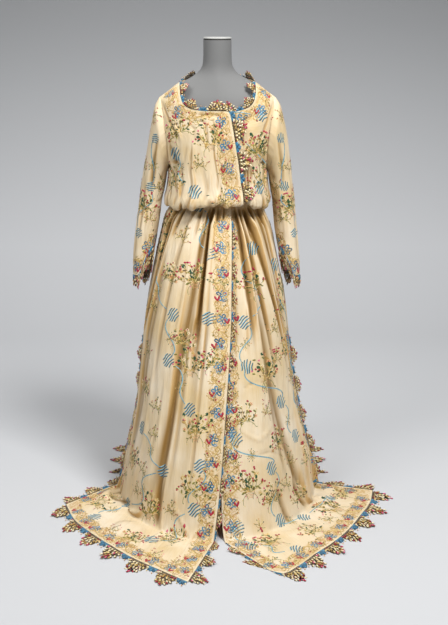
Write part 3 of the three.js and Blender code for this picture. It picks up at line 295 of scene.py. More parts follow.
def front_row(panel, c, row):
    side, ring = panel["side"], min(row, CONTACT_ROW)
    z = PLACES[0] if row <= ARMHOLE_ROW else float(read(RINGS, "row", ring, "z"))
    places = [read(panel["columns"], "at", c, name) for name in ("waist", "hip", "knee", "floor")]
    u = curve(PLACES, np.array(places), z)
    if row < 0.01:
        x = NECK_X + (TIP_X - NECK_X) * u
        return u, np.stack([side * x, 0 * x, NECK_Z - (NECK_Z - TIP_Z) * u], axis=1)
    edge = panel["edge"]
    if row <= ARMHOLE_ROW:
        upper = slice(ARMHOLE_ROW + 1)
        inner = [float(curve(edge["row"][upper], values[upper], row))
                 for values in (edge["x"], panel["edge_z"])]
        outer = [float(read(ARMHOLE, "row", row, k)) for k in ("x", "z")]
        outer[0] *= side
        return u, bodice_row(inner, outer, u, side, "front")
    edge_x = float(read(edge, "row", ring, "x")) * side
    half = float(read(RINGS, "row", ring, "right" if edge_x * side < 0 else "left"))
    start = math.asin(edge_x / half)
    p = ring_row(ring, start + (math.pi / 2 - start) * u, side, "front",
                 fold_out(panel["columns"], c, z))
    return u, settle(panel, p, u, row)


def back_row(panel, c, row):
    side, ring = np.where(c < 0, -1, 1), min(row, CONTACT_ROW)
    u = read(panel["columns"], "at", np.abs(c), "u")
    if row < 0.01:
        x, z = (read(panel["top"], "u", u, k) for k in ("x", "z"))
        y = np.where(x >= NECK_X, 0, body_depth(x, z, "back"))
        return side * u, np.stack([side * x, y, z], axis=1)
    if row <= ARMHOLE_ROW:
        outer = [float(read(ARMHOLE, "row", row, k)) for k in ("x", "z")]
        middle = [0.0, float(read(panel["middle"], "row", row, "z"))]
        p = bodice_row(middle, outer, u, 1, "back")
        p[:, 0] *= side
        return side * u, p
    z = float(read(RINGS, "row", ring, "z"))
    out = fold_out(panel["columns"], np.abs(c), z) - panel["slit_inset"] * smooth(ring - SLIT_ROW)
    p = ring_row(ring, u * math.pi / 2, 1, "back", out)
    p[:, 0] *= side
    return side * u, settle(panel, p, u, row, side)


def sleeve_row(name, turn, at):
    """one ring of a sleeve; turn goes once round from the outside by the front"""
    side, rows = (-1 if name == "right" else 1), SLEEVE[name]
    number = np.arange(len(rows["depth"]))
    slit = hump((turn / (2 * math.pi) - CUFF["slit_at"]) / CUFF["slit_half"])
    at = at - CUFF["rise"] * slit * smooth((at - CUFF["from_ring"]) / CUFF["over"])
    get = {k: curve(number, v, at) for k, v in rows.items()}
    cos, sin = np.cos(turn), np.sin(turn)
    x = (get["outer_x"] + get["inner_x"]) / 2 + (get["outer_x"] - get["inner_x"]) / 2 * cos
    z = (get["outer_z"] + get["inner_z"]) / 2 + (get["outer_z"] - get["inner_z"]) / 2 * cos
    return np.stack([side * x, get["mid_y"] - get["depth"] * sin, z], axis=1)


# %% [markdown]
# ## Fine cloth
# A surface is sampled about every 8 mm. `Cloth` keeps the points, their outward directions and
# the distances measured along the cloth, and it can find the cloth's point under any place of
# a pattern. That is how embroidery follows every fold.

# %% The cloth class
def unit(v):
    return v / np.maximum(np.linalg.norm(v, axis=-1, keepdims=True), 1e-12)


def distance_to(line, p):
    """how far points lie from a line of points, and how far along it, from 0 to 1"""
    step = np.diff(line, axis=0)
    away = p[..., None, :] - line[:-1]
    t = np.clip(np.sum(away * step, axis=-1) / np.sum(step ** 2, axis=-1), 0, 1)
    gap = np.linalg.norm(away - t[..., None] * step, axis=-1)
    best = gap.argmin(-1)[..., None]
    along = best + np.take_along_axis(t, best, -1)
    return np.take_along_axis(gap, best, -1)[..., 0], along[..., 0] / len(step)


class Cloth:
    """a sheet in metres as rows and columns of points; turn is 1 or -1 so that normals point out"""

    def __init__(self, points, turn, rows, cols, closed=False):
        self.p, self.turn, self.closed = np.asarray(points) * MM, turn, closed
        self.rows, self.cols = rows, cols
        self.hollow = np.zeros(self.p.shape[:2])
        self.measure()

    def measure(self):
        p = self.p
        across = np.gradient(p, axis=1)
        if self.closed:
            across[:, 0] = across[:, -1] = (p[:, 1] - p[:, -2]) / 2
        self.n = unit(np.cross(unit(across), unit(np.gradient(p, axis=0)))) * self.turn
        step = np.linalg.norm(np.diff(p, axis=1), axis=2)
        self.across = np.pad(np.cumsum(step, axis=1), ((0, 0), (1, 0)))
        step = np.linalg.norm(np.diff(p, axis=0), axis=2)
        self.down = np.pad(np.cumsum(step, axis=0), ((1, 0), (0, 0)))

    # the silk paints shade on the sides of its folds by this measure
    def slope(self, reach=12):
        """how far each point turns from the cloth's general direction: 0 along it, 1 square to it"""
        last = self.n.shape[1] - 1
        columns = np.clip(np.arange(last + 1)[:, None] + np.arange(-reach, reach + 1), 0, last)
        broad = unit(self.n[:, columns].mean(axis=2))
        return 1 - np.abs(np.sum(self.n * broad, axis=-1))

    def push(self, height):
        """moves every point out along its normal, by metres"""
        self.p = self.p + self.n * height[..., None]
        self.p[..., 2] = np.maximum(self.p[..., 2], 0.5 * MM)
        self.measure()

    def sample(self, i, j):
        """points and normals at places between the grid's lines"""
        rows, cols = self.p.shape[:2]
        i, j = np.clip(i, 0, rows - 1.001), np.clip(j, 0, cols - 1.001)
        a, b = np.floor(i).astype(int), np.floor(j).astype(int)
        s, t = (i - a)[..., None], (j - b)[..., None]
        both = []
        for grid in (self.p, self.n):
            top = grid[a, b] * (1 - t) + grid[a, b + 1] * t
            low = grid[a + 1, b] * (1 - t) + grid[a + 1, b + 1] * t
            both.append(top * (1 - s) + low * s)
        return both[0], unit(both[1])

    def place(self, c, row):
        """the grid place of a column number and a row number"""
        return (np.interp(row, self.rows, np.arange(len(self.rows))),
                np.interp(c, self.cols, np.arange(len(self.cols))))

    def crease(self, *folds):
        """soft troughs (depth below 0) and ridges that fade at their ends; each fold is its half
        width at both ends and its depth in mm, then the column and row of each place it runs through"""
        height = np.zeros(self.p.shape[:2])
        for first, last, depth, *path in folds:
            path = np.reshape(path, (-1, 2))
            knots = np.arange(len(path))
            c, row = curve(knots, path, np.linspace(0, knots[-1], 7 * len(path))).T
            i, j = self.place(c, row)
            line = self.sample(i, j)[0]
            reach = int(max(first, last) / 6) + 3
            part = (slice(max(0, int(i.min()) - reach), int(i.max()) + reach + 1),
                    slice(max(0, int(j.min()) - 2 * reach), int(j.max()) + 2 * reach + 1))
            gap, k = distance_to(line, self.p[part])
            fade = smooth(k / 0.3) * smooth((1 - k) / 0.35)
            off = gap / (np.interp(k, (0, 1), (first, last)) * MM)
            shape = hump(off) if depth > 0 else np.clip(1 - off, 0, 1) ** 1.5
            height[part] += FOLD_DEPTH * depth * MM * shape * fade
        # the creases' depth is kept as hollow, by which the silk paints shade in its folds
        self.hollow -= height
        self.push(height)

    def lay(self, place, flat, height, angle):
        """lays flat (n, 2) metres, right and down as seen from outside, round a grid place"""
        i, j = place
        rows, cols = self.p.shape[:2]
        a, b = min(max(int(i), 1), rows - 2), min(max(int(j), 1), cols - 2)
        di = (self.p[a + 1, b] - self.p[a - 1, b]) / 2
        dj = (self.p[a, b + 1] - self.p[a, b - 1]) / 2
        right = unit(dj) * -self.turn
        down = unit(np.cross(np.cross(right, di), right))
        cos, sin = math.cos(angle), math.sin(angle)
        x = flat[:, 0] * cos - flat[:, 1] * sin
        y = flat[:, 0] * sin + flat[:, 1] * cos
        here = self.sample(i, j)[0]
        rise, skew, run = max(di @ down, 1e-6), di @ right, dj @ right
        steps, sides = 0 * y, 0 * x
        for share in (1, 0.7, 0.7):    # a first guess, then two corrections where the grid bends
            p = self.sample(i + steps, j + sides)[0]
            more = (y - (p - here) @ down) / rise * share
            if share < 1:
                limit = 0.25 * np.abs(y / rise) + 0.5
                more = np.clip(more, -limit, limit)
            steps = steps + more
            sides = sides + (x - (p - here) @ right) / run * share - more * skew / run
        p, n = self.sample(i + steps, j + sides)
        return p + n * np.reshape(height, (-1, 1))


def fine_rows(known, rows, step=8.0):
    """points about a step apart down the cloth, through the known rows, and their row numbers"""
    known = np.asarray(known)
    gaps = np.linalg.norm(np.diff(known, axis=0), axis=2).mean(axis=1)
    knots = np.concatenate([[0], np.cumsum(gaps)])
    at = np.linspace(0, knots[-1], round(knots[-1] / step))
    return curve(knots, known, at), curve(knots, rows, at)


# %% [markdown]
# ## The camera, the floor and the light
# The robe is seen from the front and a little above, through a long lens, so that it keeps its
# proportions. A studio sweep stands behind it: the floor runs back and bends up into a wall
# in one soft curve, which gives a backdrop with no line. From behind the paper is clear, so
# that the robe's back can be looked at too. A large soft light stands high on the right, and
# fainter ones fill from the left and the front.

# %% Camera
camera = bpy.data.objects.new("camera", bpy.data.cameras.new("camera"))
camera.data.lens, camera.data.sensor_width = 64.36, 36
camera.location = (0.0224, -3.9, 1.70)
camera.rotation_euler = (math.radians(90 - 15.319), 0, 0)
bpy.context.collection.objects.link(camera)
bpy.context.scene.camera = camera


# %% Colour and nodes
def linear(code):
    """an sRGB hex colour as the linear values that shaders use"""
    parts = [int(code[i:i + 2], 16) / 255 for i in (0, 2, 4)]
    return [v / 12.92 if v <= 0.04045 else ((v + 0.055) / 1.055) ** 2.4 for v in parts] + [1]


def add(tree, kind, inputs=(), stops=(), **settings):
    """a shader node with its settings, its inputs set to values or linked to other nodes (to the
    first output, if none is named), and the stops of its ramp, each a place and a colour"""
    node = tree.nodes.new("ShaderNode" + kind)
    for key, value in settings.items():
        setattr(node, key, value)
    for k, (place, code) in enumerate(stops):
        node.color_ramp.elements[k].position = place
        node.color_ramp.elements[k].color = linear(code)
    for socket, value in dict(inputs).items():
        if isinstance(value, bpy.types.Node):
            value = value.outputs[0]
        if isinstance(value, bpy.types.NodeSocket):
            tree.links.new(value, node.inputs[socket])
        else:
            node.inputs[socket].default_value = value
    return node


def new_material(name):
    """an empty material and its tree"""
    made = bpy.data.materials.new(name)
    made.use_nodes = True
    made.node_tree.nodes.clear()
    return made, made.node_tree


# %% Studio sweep and lights
def studio():
    """one sheet of paper, floor and wall, with a soft bend between them"""
    wide, front, wall, bend = 9.0, -4.5, 3.4, 1.6
    path = [(front, 0), (wall - bend, 0)]
    path += [(wall - bend + bend * math.sin(t), bend - bend * math.cos(t))
             for t in np.linspace(0.1, math.pi / 2, 14)]
    path.append((wall, 5.5))
    points = [(x, y, z) for y, z in path for x in (-wide / 2, wide / 2)]
    faces = [(k, k + 1, k + 3, k + 2) for k in range(0, 2 * len(path) - 2, 2)]
    mesh = bpy.data.meshes.new("sweep")
    mesh.from_pydata(points, [], faces)
    mesh.shade_smooth()
    sweep = bpy.data.objects.new("sweep", mesh)
    bpy.context.collection.objects.link(sweep)
    paper, tree = new_material("backdrop paper with painted shade towards the top")
    coords = add(tree, "TexCoord")
    height = add(tree, "SeparateXYZ", {"Vector": coords.outputs["Object"]})
    # painted shade: the paper darkens from pale at the floor to grey at the top, where less light
    # reaches the wall
    rise = add(tree, "MapRange", {"Value": height.outputs["Z"], "From Min": 0.3, "From Max": 2.1})
    tone = add(tree, "ValToRGB", {"Fac": rise}, stops=((0, "c1c2c4"), (1, "757677")))
    base = add(tree, "BsdfPrincipled", {"Base Color": tone, "Roughness": 0.9})
    facing = add(tree, "NewGeometry")
    clear = add(tree, "BsdfTransparent")
    both = add(tree, "MixShader", {0: facing.outputs["Backfacing"], 1: base, 2: clear})
    add(tree, "OutputMaterial", {"Surface": both})
    mesh.materials.append(paper)


def soft_light(name, place, size, watts, at=(0, 0, 0.8)):
    data = bpy.data.lights.new(name, "AREA")
    data.shape, data.size, data.energy = "SQUARE", size, watts
    lamp = bpy.data.objects.new(name, data)
    lamp.location = place
    lamp.rotation_euler = (Vector(at) - Vector(place)).to_track_quat("-Z", "Y").to_euler()
    bpy.context.collection.objects.link(lamp)


studio()
soft_light("key", (1.5, -1.9, 4.1), 1.2, 186)
soft_light("fill", (-2.3, -2.0, 3.7), 1.8, 84)
soft_light("front", (0.3, -4.6, 2.6), 2.0, 8)
soft_light("wall", (-0.4, 0.8, 3.6), 2.4, 52, at=(0.0, 3.4, 0.6))
bpy.context.scene.view_settings.view_transform = "Standard"
world = bpy.data.worlds.new("studio")
world.use_nodes = True
world.node_tree.nodes["Background"].inputs[0].default_value = linear("c8ccd0")
world.node_tree.nodes["Background"].inputs[1].default_value = 0.22
bpy.context.scene.world = world


# %% [markdown]
# ## Silk
# The cloth is a fine plain-woven silk. Its threads are too thin to see from where the camera
# stands, so the weave is drawn three times coarser than the real 0.4 mm. What the eye catches
# first is the soft crinkle along the fall of the cloth, with pale and deeper streaks in it, and
# a warm glow where light comes through: part of the shader lets light pass. Shade is painted
# into the colour as well: the cloth darkens in its folds by their depth and, where it hangs,
# turns a deeper gold on their sides. Gilt thread is laid in flat patches along the trimmed
# edges, where the attribute "edge" is small.

# %% The silk
THREAD = 0.0012    # one thread as drawn, in metres, three times the real 0.4 mm
WAVE = 2 * math.pi / 20    # a wave texture of scale 1 has this many metres from band to band
CRINKLE = (260, 9, 1)    # crinkles about 4 mm wide and 110 mm long
RIPPLE = (38, 5, 1)    # soft ripples about 26 mm wide and 200 mm long


def silk_material():
    """crinkled, a little see-through, with painted shade in its folds and on their sides, and gilt
    patches
    """
    made, tree = new_material("fine plain silk")
    coords = add(tree, "TexCoord")
    place = add(tree, "Mapping", {"Vector": coords.outputs["UV"], "Scale": CRINKLE})
    crinkle = add(tree, "TexNoise", {"Vector": place, "Scale": 1, "Detail": 4})
    # broad clouds of tone, about 140 mm across
    cloud = add(tree, "TexNoise", {"Vector": coords.outputs["Object"], "Scale": 7, "Detail": 3})
    warp, weft = (add(tree, "TexWave", {
        "Vector": coords.outputs["UV"], "Scale": WAVE / THREAD, "Distortion": 0.6},
        bands_direction=direction) for direction in "XY")
    weave = add(tree, "Math", {0: warp.outputs["Fac"], 1: weft.outputs["Fac"]}, operation="ADD")
    streaks = add(tree, "Mix", {0: 0.22, 2: cloud, 3: crinkle})
    tone = add(tree, "ValToRGB", {"Fac": streaks}, stops=((0.34, "e8cf9c"), (0.66, "fcf0d6")))
    # painted shade: the depth of the folds, in millimetres, sets how dark they are painted
    hollow = add(tree, "Attribute", attribute_name="hollow")
    fold = add(tree, "MapRange", {
        "Value": hollow.outputs["Fac"], "From Min": 0.5, "From Max": 9, "To Max": 0.9})
    # gilt between 4 and 64 mm from an edge, cut into leaves about 13 mm across
    edge = add(tree, "Attribute", attribute_name="edge")
    band = add(tree, "MapRange", {
        "Value": edge.outputs["Fac"], "From Min": 0.064, "From Max": 0.050, "To Max": 0.62})
    seam = add(tree, "MapRange", {"Value": edge.outputs["Fac"], "From Min": 0.004, "From Max": 0.009})
    leaves = add(tree, "TexNoise", {
        "Vector": coords.outputs["UV"], "Scale": 75, "Detail": 3, "Distortion": 1.8})
    cut = add(tree, "MapRange", {"Value": leaves, "From Min": 0.45, "From Max": 0.52})
    inside = add(tree, "Math", {0: band, 1: seam}, operation="MULTIPLY")
    laid = add(tree, "Math", {0: inside, 1: cut}, operation="MULTIPLY")
    ground = add(tree, "Mix", {0: laid, 6: tone, 7: linear("c89c50")}, data_type="RGBA")
    # painted shade: a deeper gold on the sides of the folds, where the cloth hangs
    slope = add(tree, "Attribute", attribute_name="slope")
    turned = add(tree, "MapRange", {
        "Value": slope.outputs["Fac"], "From Min": 0.01, "From Max": 0.24, "To Min": 0.07,
        "To Max": 0.75})
    normal = add(tree, "NewGeometry").outputs["Normal"]
    facing = add(tree, "SeparateXYZ", {"Vector": normal})
    hanging = add(tree, "MapRange", {
        "Value": facing.outputs["Z"], "From Min": 0.3, "From Max": 0.8, "To Min": 1, "To Max": 0.15})
    side = add(tree, "Math", {0: turned, 1: hanging}, operation="MULTIPLY")
    sides = add(tree, "Mix", {0: side, 6: ground.outputs[2], 7: linear("cc9c46")}, data_type="RGBA")
    # painted shade: the silk darkens towards deep brown in its folds, by their depth
    deeper = add(tree, "Mix", {0: fold, 6: sides.outputs[2], 7: linear("8a6420")}, data_type="RGBA")
    fine = add(tree, "Bump", {"Height": weave, "Strength": 0.12, "Distance": 0.0003})
    wide = add(tree, "Mapping", {"Vector": coords.outputs["UV"], "Scale": RIPPLE})
    ripple = add(tree, "TexNoise", {"Vector": wide, "Scale": 1, "Detail": 3, "Distortion": 0.6})
    soft = add(tree, "Bump", {"Height": ripple, "Strength": 0.55, "Distance": 0.008, "Normal": fine})
    relief = add(tree, "Bump", {"Height": crinkle, "Strength": 0.55, "Distance": 0.0016, "Normal": soft})
    base = add(tree, "BsdfPrincipled", {
        "Base Color": deeper.outputs[2], "Roughness": 0.56, "IOR": 1.5, "Normal": relief,
        "Sheen Weight": 0.2, "Sheen Roughness": 0.4})
    # about a fifth of the light goes through the cloth and warms on the way
    through = add(tree, "BsdfTranslucent", {"Color": linear("e4b767")})
    both = add(tree, "MixShader", {0: 0.22, 1: base, 2: through})
    add(tree, "OutputMaterial", {"Surface": both})
    return made


silk = silk_material()


# %% [markdown]
# ## Cutting the panels
# Each panel is a flat grid of the right size whose points are moved to the cloth's surface,
# then given a thin wall. Its UV map holds metres measured on the cloth, so that threads and
# crinkles keep their size in every fold.

# %% From a surface to a piece
def grid_mesh(name, points, turn=1, across=None, down=None, **fields):
    """a mesh of quads through rows and columns of points, with its UV map in metres and its fields
    as attributes of the points"""
    rows, cols = points.shape[:2]
    bm = bmesh.new()
    layers = {key: bm.verts.layers.float.new(key) for key in fields}
    bmesh.ops.create_grid(bm, x_segments=cols - 1, y_segments=rows - 1, size=1)
    order = sorted(bm.verts, key=lambda v: (round(v.co.y, 5), v.co.x))
    number = {vert: k for k, vert in enumerate(order)}
    for vert, place in zip(order, points.reshape(-1, 3)):
        vert.co = place
    for key, values in fields.items():
        for vert, value in zip(order, values.ravel()):
            vert[layers[key]] = value
    if across is not None:
        uv = bm.loops.layers.uv.new("cloth")
        flat = np.stack([across, down], axis=-1).reshape(-1, 2)
        for loop in (loop for face in bm.faces for loop in face.loops):
            loop[uv].uv = flat[number[loop.vert]]
    if turn < 0:
        bmesh.ops.reverse_faces(bm, faces=bm.faces)
    bmesh.ops.remove_doubles(bm, verts=bm.verts, dist=1e-5)
    mesh = bpy.data.meshes.new(name)
    bm.to_mesh(mesh)
    bm.free()
    mesh.shade_smooth()
    return mesh


def place_piece(mesh, *materials):
    """an object of the mesh's name with its materials, which rides the robe"""
    for material in materials:
        mesh.materials.append(material)
    piece = bpy.data.objects.new(mesh.name, mesh)
    bpy.context.collection.objects.link(piece)
    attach(piece, "root")
    return piece


NECK_HALF = 0.1315    # half the width of the neckline, in metres


def edge_gap(cloth, edges):
    """how far each point lies from the edges that carry gilt work, in metres"""
    gap = np.full(cloth.p.shape[:2], 1.0)
    if "front" in edges:
        gap = np.minimum(gap, cloth.across)
    if "neck" in edges:
        at_neck = np.abs(cloth.p[:1, :, 0]) < NECK_HALF
        gap = np.minimum(gap, np.where(at_neck, cloth.down, 1))
    if "hem" in edges:
        gap = np.minimum(gap, cloth.down[-1] - cloth.down)
    if "slits" in edges:
        low = cloth.rows[:, None] > SLIT_ROW
        gap = np.minimum(gap, np.where(low, 1.5 * (cloth.across[:, -1:] - cloth.across), 1))
        gap = gap if "front" in edges else np.minimum(gap, np.where(low, 1.5 * cloth.across, 1))
    return gap


def sheet_piece(name, cloth, material, thickness=0.0008, gilt=()):
    """the panel as a piece with a thin wall; gilt names the edges that carry gilt work"""
    # hollow and slope tell the silk where to paint shade: in its folds and on their sides
    mesh = grid_mesh(name, cloth.p, cloth.turn, cloth.across, cloth.down,
                     hollow=cloth.hollow / MM, slope=cloth.slope(), edge=edge_gap(cloth, gilt))
    piece = place_piece(mesh, material)
    wall = piece.modifiers.new("wall", "SOLIDIFY")
    wall.thickness, wall.offset = thickness, 0
    return piece


PANEL_ROWS = np.concatenate([np.arange(CONTACT_ROW), np.linspace(CONTACT_ROW, HEM_ROW, 25)])


def front_cloth(panel, count=120):
    c = np.linspace(0, 10, count + 1)
    points, rows = fine_rows([front_row(panel, c, row)[1] for row in PANEL_ROWS], PANEL_ROWS)
    cloth = Cloth(points, -panel["side"], rows, c)
    lap = 1 - smooth((read(panel["columns"], "at", c, "waist") - 0.30) / 0.26)
    depth = panel["inset"] * smooth(rows / 5) * smooth((CONTACT_ROW - rows) / 3)
    cloth.push(-depth[:, None] * lap[None, :] * MM)
    return cloth


def back_cloth(count=120):
    c = np.linspace(-6, 6, count + 1)
    points, rows = fine_rows([back_row(BACK, c, row)[1] for row in PANEL_ROWS], PANEL_ROWS)
    return Cloth(points, 1, rows, c)


def sleeve_cloth(name, count=56):
    side = -1 if name == "right" else 1
    turn = np.linspace(0, 2 * math.pi, count + 1)
    k = turn / (2 * math.pi) * 2 * ARMHOLE_ROW
    row = np.where(k <= ARMHOLE_ROW, k, 2 * ARMHOLE_ROW - k)
    x, z = read(ARMHOLE, "row", row, "x"), read(ARMHOLE, "row", row, "z")
    y = np.where(k <= ARMHOLE_ROW, -body_depth(x, z, "front"), body_depth(x, z, "back"))
    y = np.where(np.minimum(row, ARMHOLE_ROW - row) < 1e-6, 0, y)
    rings = np.linspace(0, 9, 28)
    known = [np.stack([side * x, y, z], axis=1)] + [sleeve_row(name, turn, at) for at in rings]
    points, numbers = fine_rows(known, np.concatenate([[-1], rings]))
    return Cloth(points, side, numbers, k, closed=True)


right, left, back = front_cloth(RIGHT), front_cloth(LEFT), back_cloth()
sleeves = {name: sleeve_cloth(name) for name in SLEEVE}
for name, cloth in (("right", right), ("left", left), ("back", back)):
    print(name, "panel:", cloth.p.shape[0], "rows of", cloth.p.shape[1], "points")


# %% [markdown]
# ## Creases
# The tables hold the broad folds. The sharper creases are drawn over them, each as two
# half widths, a depth and a path of column and row numbers. They spring from where the cloth
# is held: the waist tape, the underarm, the elbow and the floor. Close under the blouse the
# silk is gathered, so small tucks of uneven length and depth stand side by side there.

# %% Creases
# all the depths below are multiplied by this
FOLD_DEPTH = 1.9


def tucks(seed, first, last, count, row, length, depth):
    """small gathers side by side, below a row where the cloth is held"""
    rng = np.random.default_rng(seed)
    folds = []
    for c in np.linspace(first, last, count) + rng.normal(0, 0.12, count):
        end = row + length * rng.uniform(0.35, 1)
        lean, width = rng.normal(0, 0.12), rng.uniform(5, 8.5)
        folds.append((width, width, -depth * rng.uniform(0.4, 1),
                      c, row - 0.6, c + lean / 2, (row + end) / 2, c + lean, end))
    return folds


def crinkles(seed, columns, rows, count, width, depth):
    """fine uneven creases down the fall of the cloth, some hollow and some raised"""
    rng = np.random.default_rng(seed)
    folds = []
    for _ in range(count):
        c, row = rng.uniform(*columns), rng.uniform(*rows)
        lean, length = rng.normal(0, 0.25), rng.uniform(1.2, 3.4)
        sign = rng.choice((-1, -1, 1))
        middle, half = c + lean * rng.uniform(0.2, 0.8), width * rng.uniform(0.8, 1.4)
        folds.append((half, half, sign * depth * rng.uniform(0.5, 1.2),
                      c, row, middle, row + length / 2, c + lean, row + length))
    return folds


right.crease(
    (12, 17, -10, 3, 16.9, 2.95, 20, 3, 22.3, 3.05, 25.5), (9, 16, 5, 2.35, 17, 2.4, 21, 2.5, 24.5),
    (8, 8, -4, 3.45, 17.8, 3.5, 19.5, 3.7, 21.5), (7, 7, -4, 4.3, 17.8, 4.35, 19, 4.5, 20.6),
    (9, 9, -3.5, 5.2, 17.8, 5.25, 19.4, 5.3, 22), (7, 7, -4.5, 6.1, 17.8, 6.2, 19, 6.4, 20.6),
    (8, 8, -5, 6.85, 17.8, 6.9, 19.5, 7, 22), (9, 15, -8, 7.5, 17, 7.5, 20, 7.6, 23.5, 7.7, 27.5),
    (8, 14, 5, 7.85, 18, 7.9, 22, 8, 26.5), (9, 16, -10, 8.3, 17, 8.3, 21, 8.4, 25, 8.5, 29),
    (8, 14, 6, 8.7, 18, 8.75, 22, 8.8, 27), (8, 13, -7, 9.1, 17, 9.1, 20, 9.2, 24, 9.3, 27.5),
    (7, 7, -4, 9.6, 17.8, 9.6, 20, 9.6, 23), (10, 10, -3, 1.9, 21, 2, 24, 2.1, 27, 2.2, 29.5),
    (10, 18, -3.5, 5.4, 19, 5.5, 23, 5.7, 27), (9, 18, 3, 4.4, 20, 4.45, 24, 4.3, 28),
    (10, 18, -4, 6.5, 20, 6.6, 24, 6.9, 28.5), (9, 16, -3, 3.5, 22, 3.6, 25, 3.6, 29),
    (16, 40, -6, 3.5, 18.4, 3.8, 22, 4.3, 26, 4.8, 29.5), (18, 36, -4, 6.2, 21, 6.4, 25, 6.9, 29),
    (10, 18, -4.5, 9.3, 9.4, 9.1, 11.4, 9.2, 13.4), (9, 20, -4, 7.5, 9.8, 7.8, 11.8, 7.6, 13.4),
    (10, 24, -2.5, 5.6, 9.6, 5.9, 11.8, 6.1, 13.4), (9, 20, -3.5, 4.3, 10.2, 4.1, 12, 4.2, 13.4),
    (8, 16, -2.5, 2.3, 10.4, 2.2, 13.4), (12, 22, -4, 9.8, 4.6, 8.6, 6.6, 7.6, 9.6),
    *crinkles(21, (0.6, 9.6), (18, 30), 26, 8, 2.2), *crinkles(22, (1.2, 9.6), (3, 9), 22, 8, 2.0),
    (22, 22, 4, 5.6, 24, 5.8, 27, 6.2, 29.5), (16, 30, -6, 4.2, 25, 4.3, 27, 4.1, 29.5, 3.9, 31),
    (24, 16, 8, 8.6, 32.4, 7.1, 32.1, 6.1, 31.35, 5.2, 30, 4.9, 28.4),
    (16, 12, -6, 8.6, 31.6, 7.3, 31.4, 6.5, 30.8, 5.8, 29.6),
    (6, 6, 2.6, 3.7, 28.9, 2.8, 28.8, 2.2, 29.5, 1.2, 31.9, 1.1, 33.2),
    (7, 7, 2.4, 4.6, 31.2, 3.9, 32, 3.4, 33.2), (7, 7, 2.2, 6.8, 32.6, 5.9, 32.8, 5.2, 33.4),
    (16, 16, -6, 7.1, 27.5, 7.6, 30, 8.2, 31.8), (12, 12, 6, 8.6, 28.5, 8.9, 30.6, 9.3, 32),
    (10, 10, 3, 1.2, 29.5, 1.7, 31.3, 2.6, 32.6), (9, 9, 2.5, 3, 30, 3.4, 31.6, 3.2, 33),
    (12, 12, -2.5, 5, 31, 5.6, 32.2, 5.4, 33.4), (9, 9, -3, 9.8, 6.2, 8.2, 7, 6.6, 7.6),
    (9, 9, -3.5, 9.9, 7.2, 8.4, 8.6, 7.4, 10.2), (8, 8, -3, 9.6, 8.4, 8.8, 9.8, 8.6, 11.4),
    (10, 10, -2.2, 6.9, 6.5, 6.6, 9, 6.8, 11.4), (9, 9, -2, 4.6, 7.5, 4.4, 9.6, 4.7, 11.6),
    (8, 8, -1.8, 2.9, 8, 2.8, 9.8, 3.1, 11.6), (8, 8, 2.5, 5.6, 9.5, 5.4, 10.6, 5.7, 12),
    (8, 8, -2.5, 9.7, 1.4, 8.6, 3, 8, 5.2), (7, 7, 2.2, 3.4, 9.8, 3.5, 11, 3.3, 12.2),
    (14, 28, 5, 5.3, 9.6, 5.4, 12.8, 5.5, 15.4), (7, 14, -6, 6.5, 10.4, 6.5, 12.9, 6.5, 15.4),
    (12, 22, 4, 7.7, 10.2, 7.8, 12.8, 7.8, 15.4), (20, 36, -4, 3.2, 10.6, 3.1, 12.9, 3, 15.4),
    (12, 22, 3, 1.6, 10.8, 1.6, 12.9, 1.6, 15.4), *tucks(1, 0.9, 9.7, 26, 18, 2.0, 4.5),
    *tucks(2, 1.0, 9.7, 20, 12.6, -1.4, 2.2))
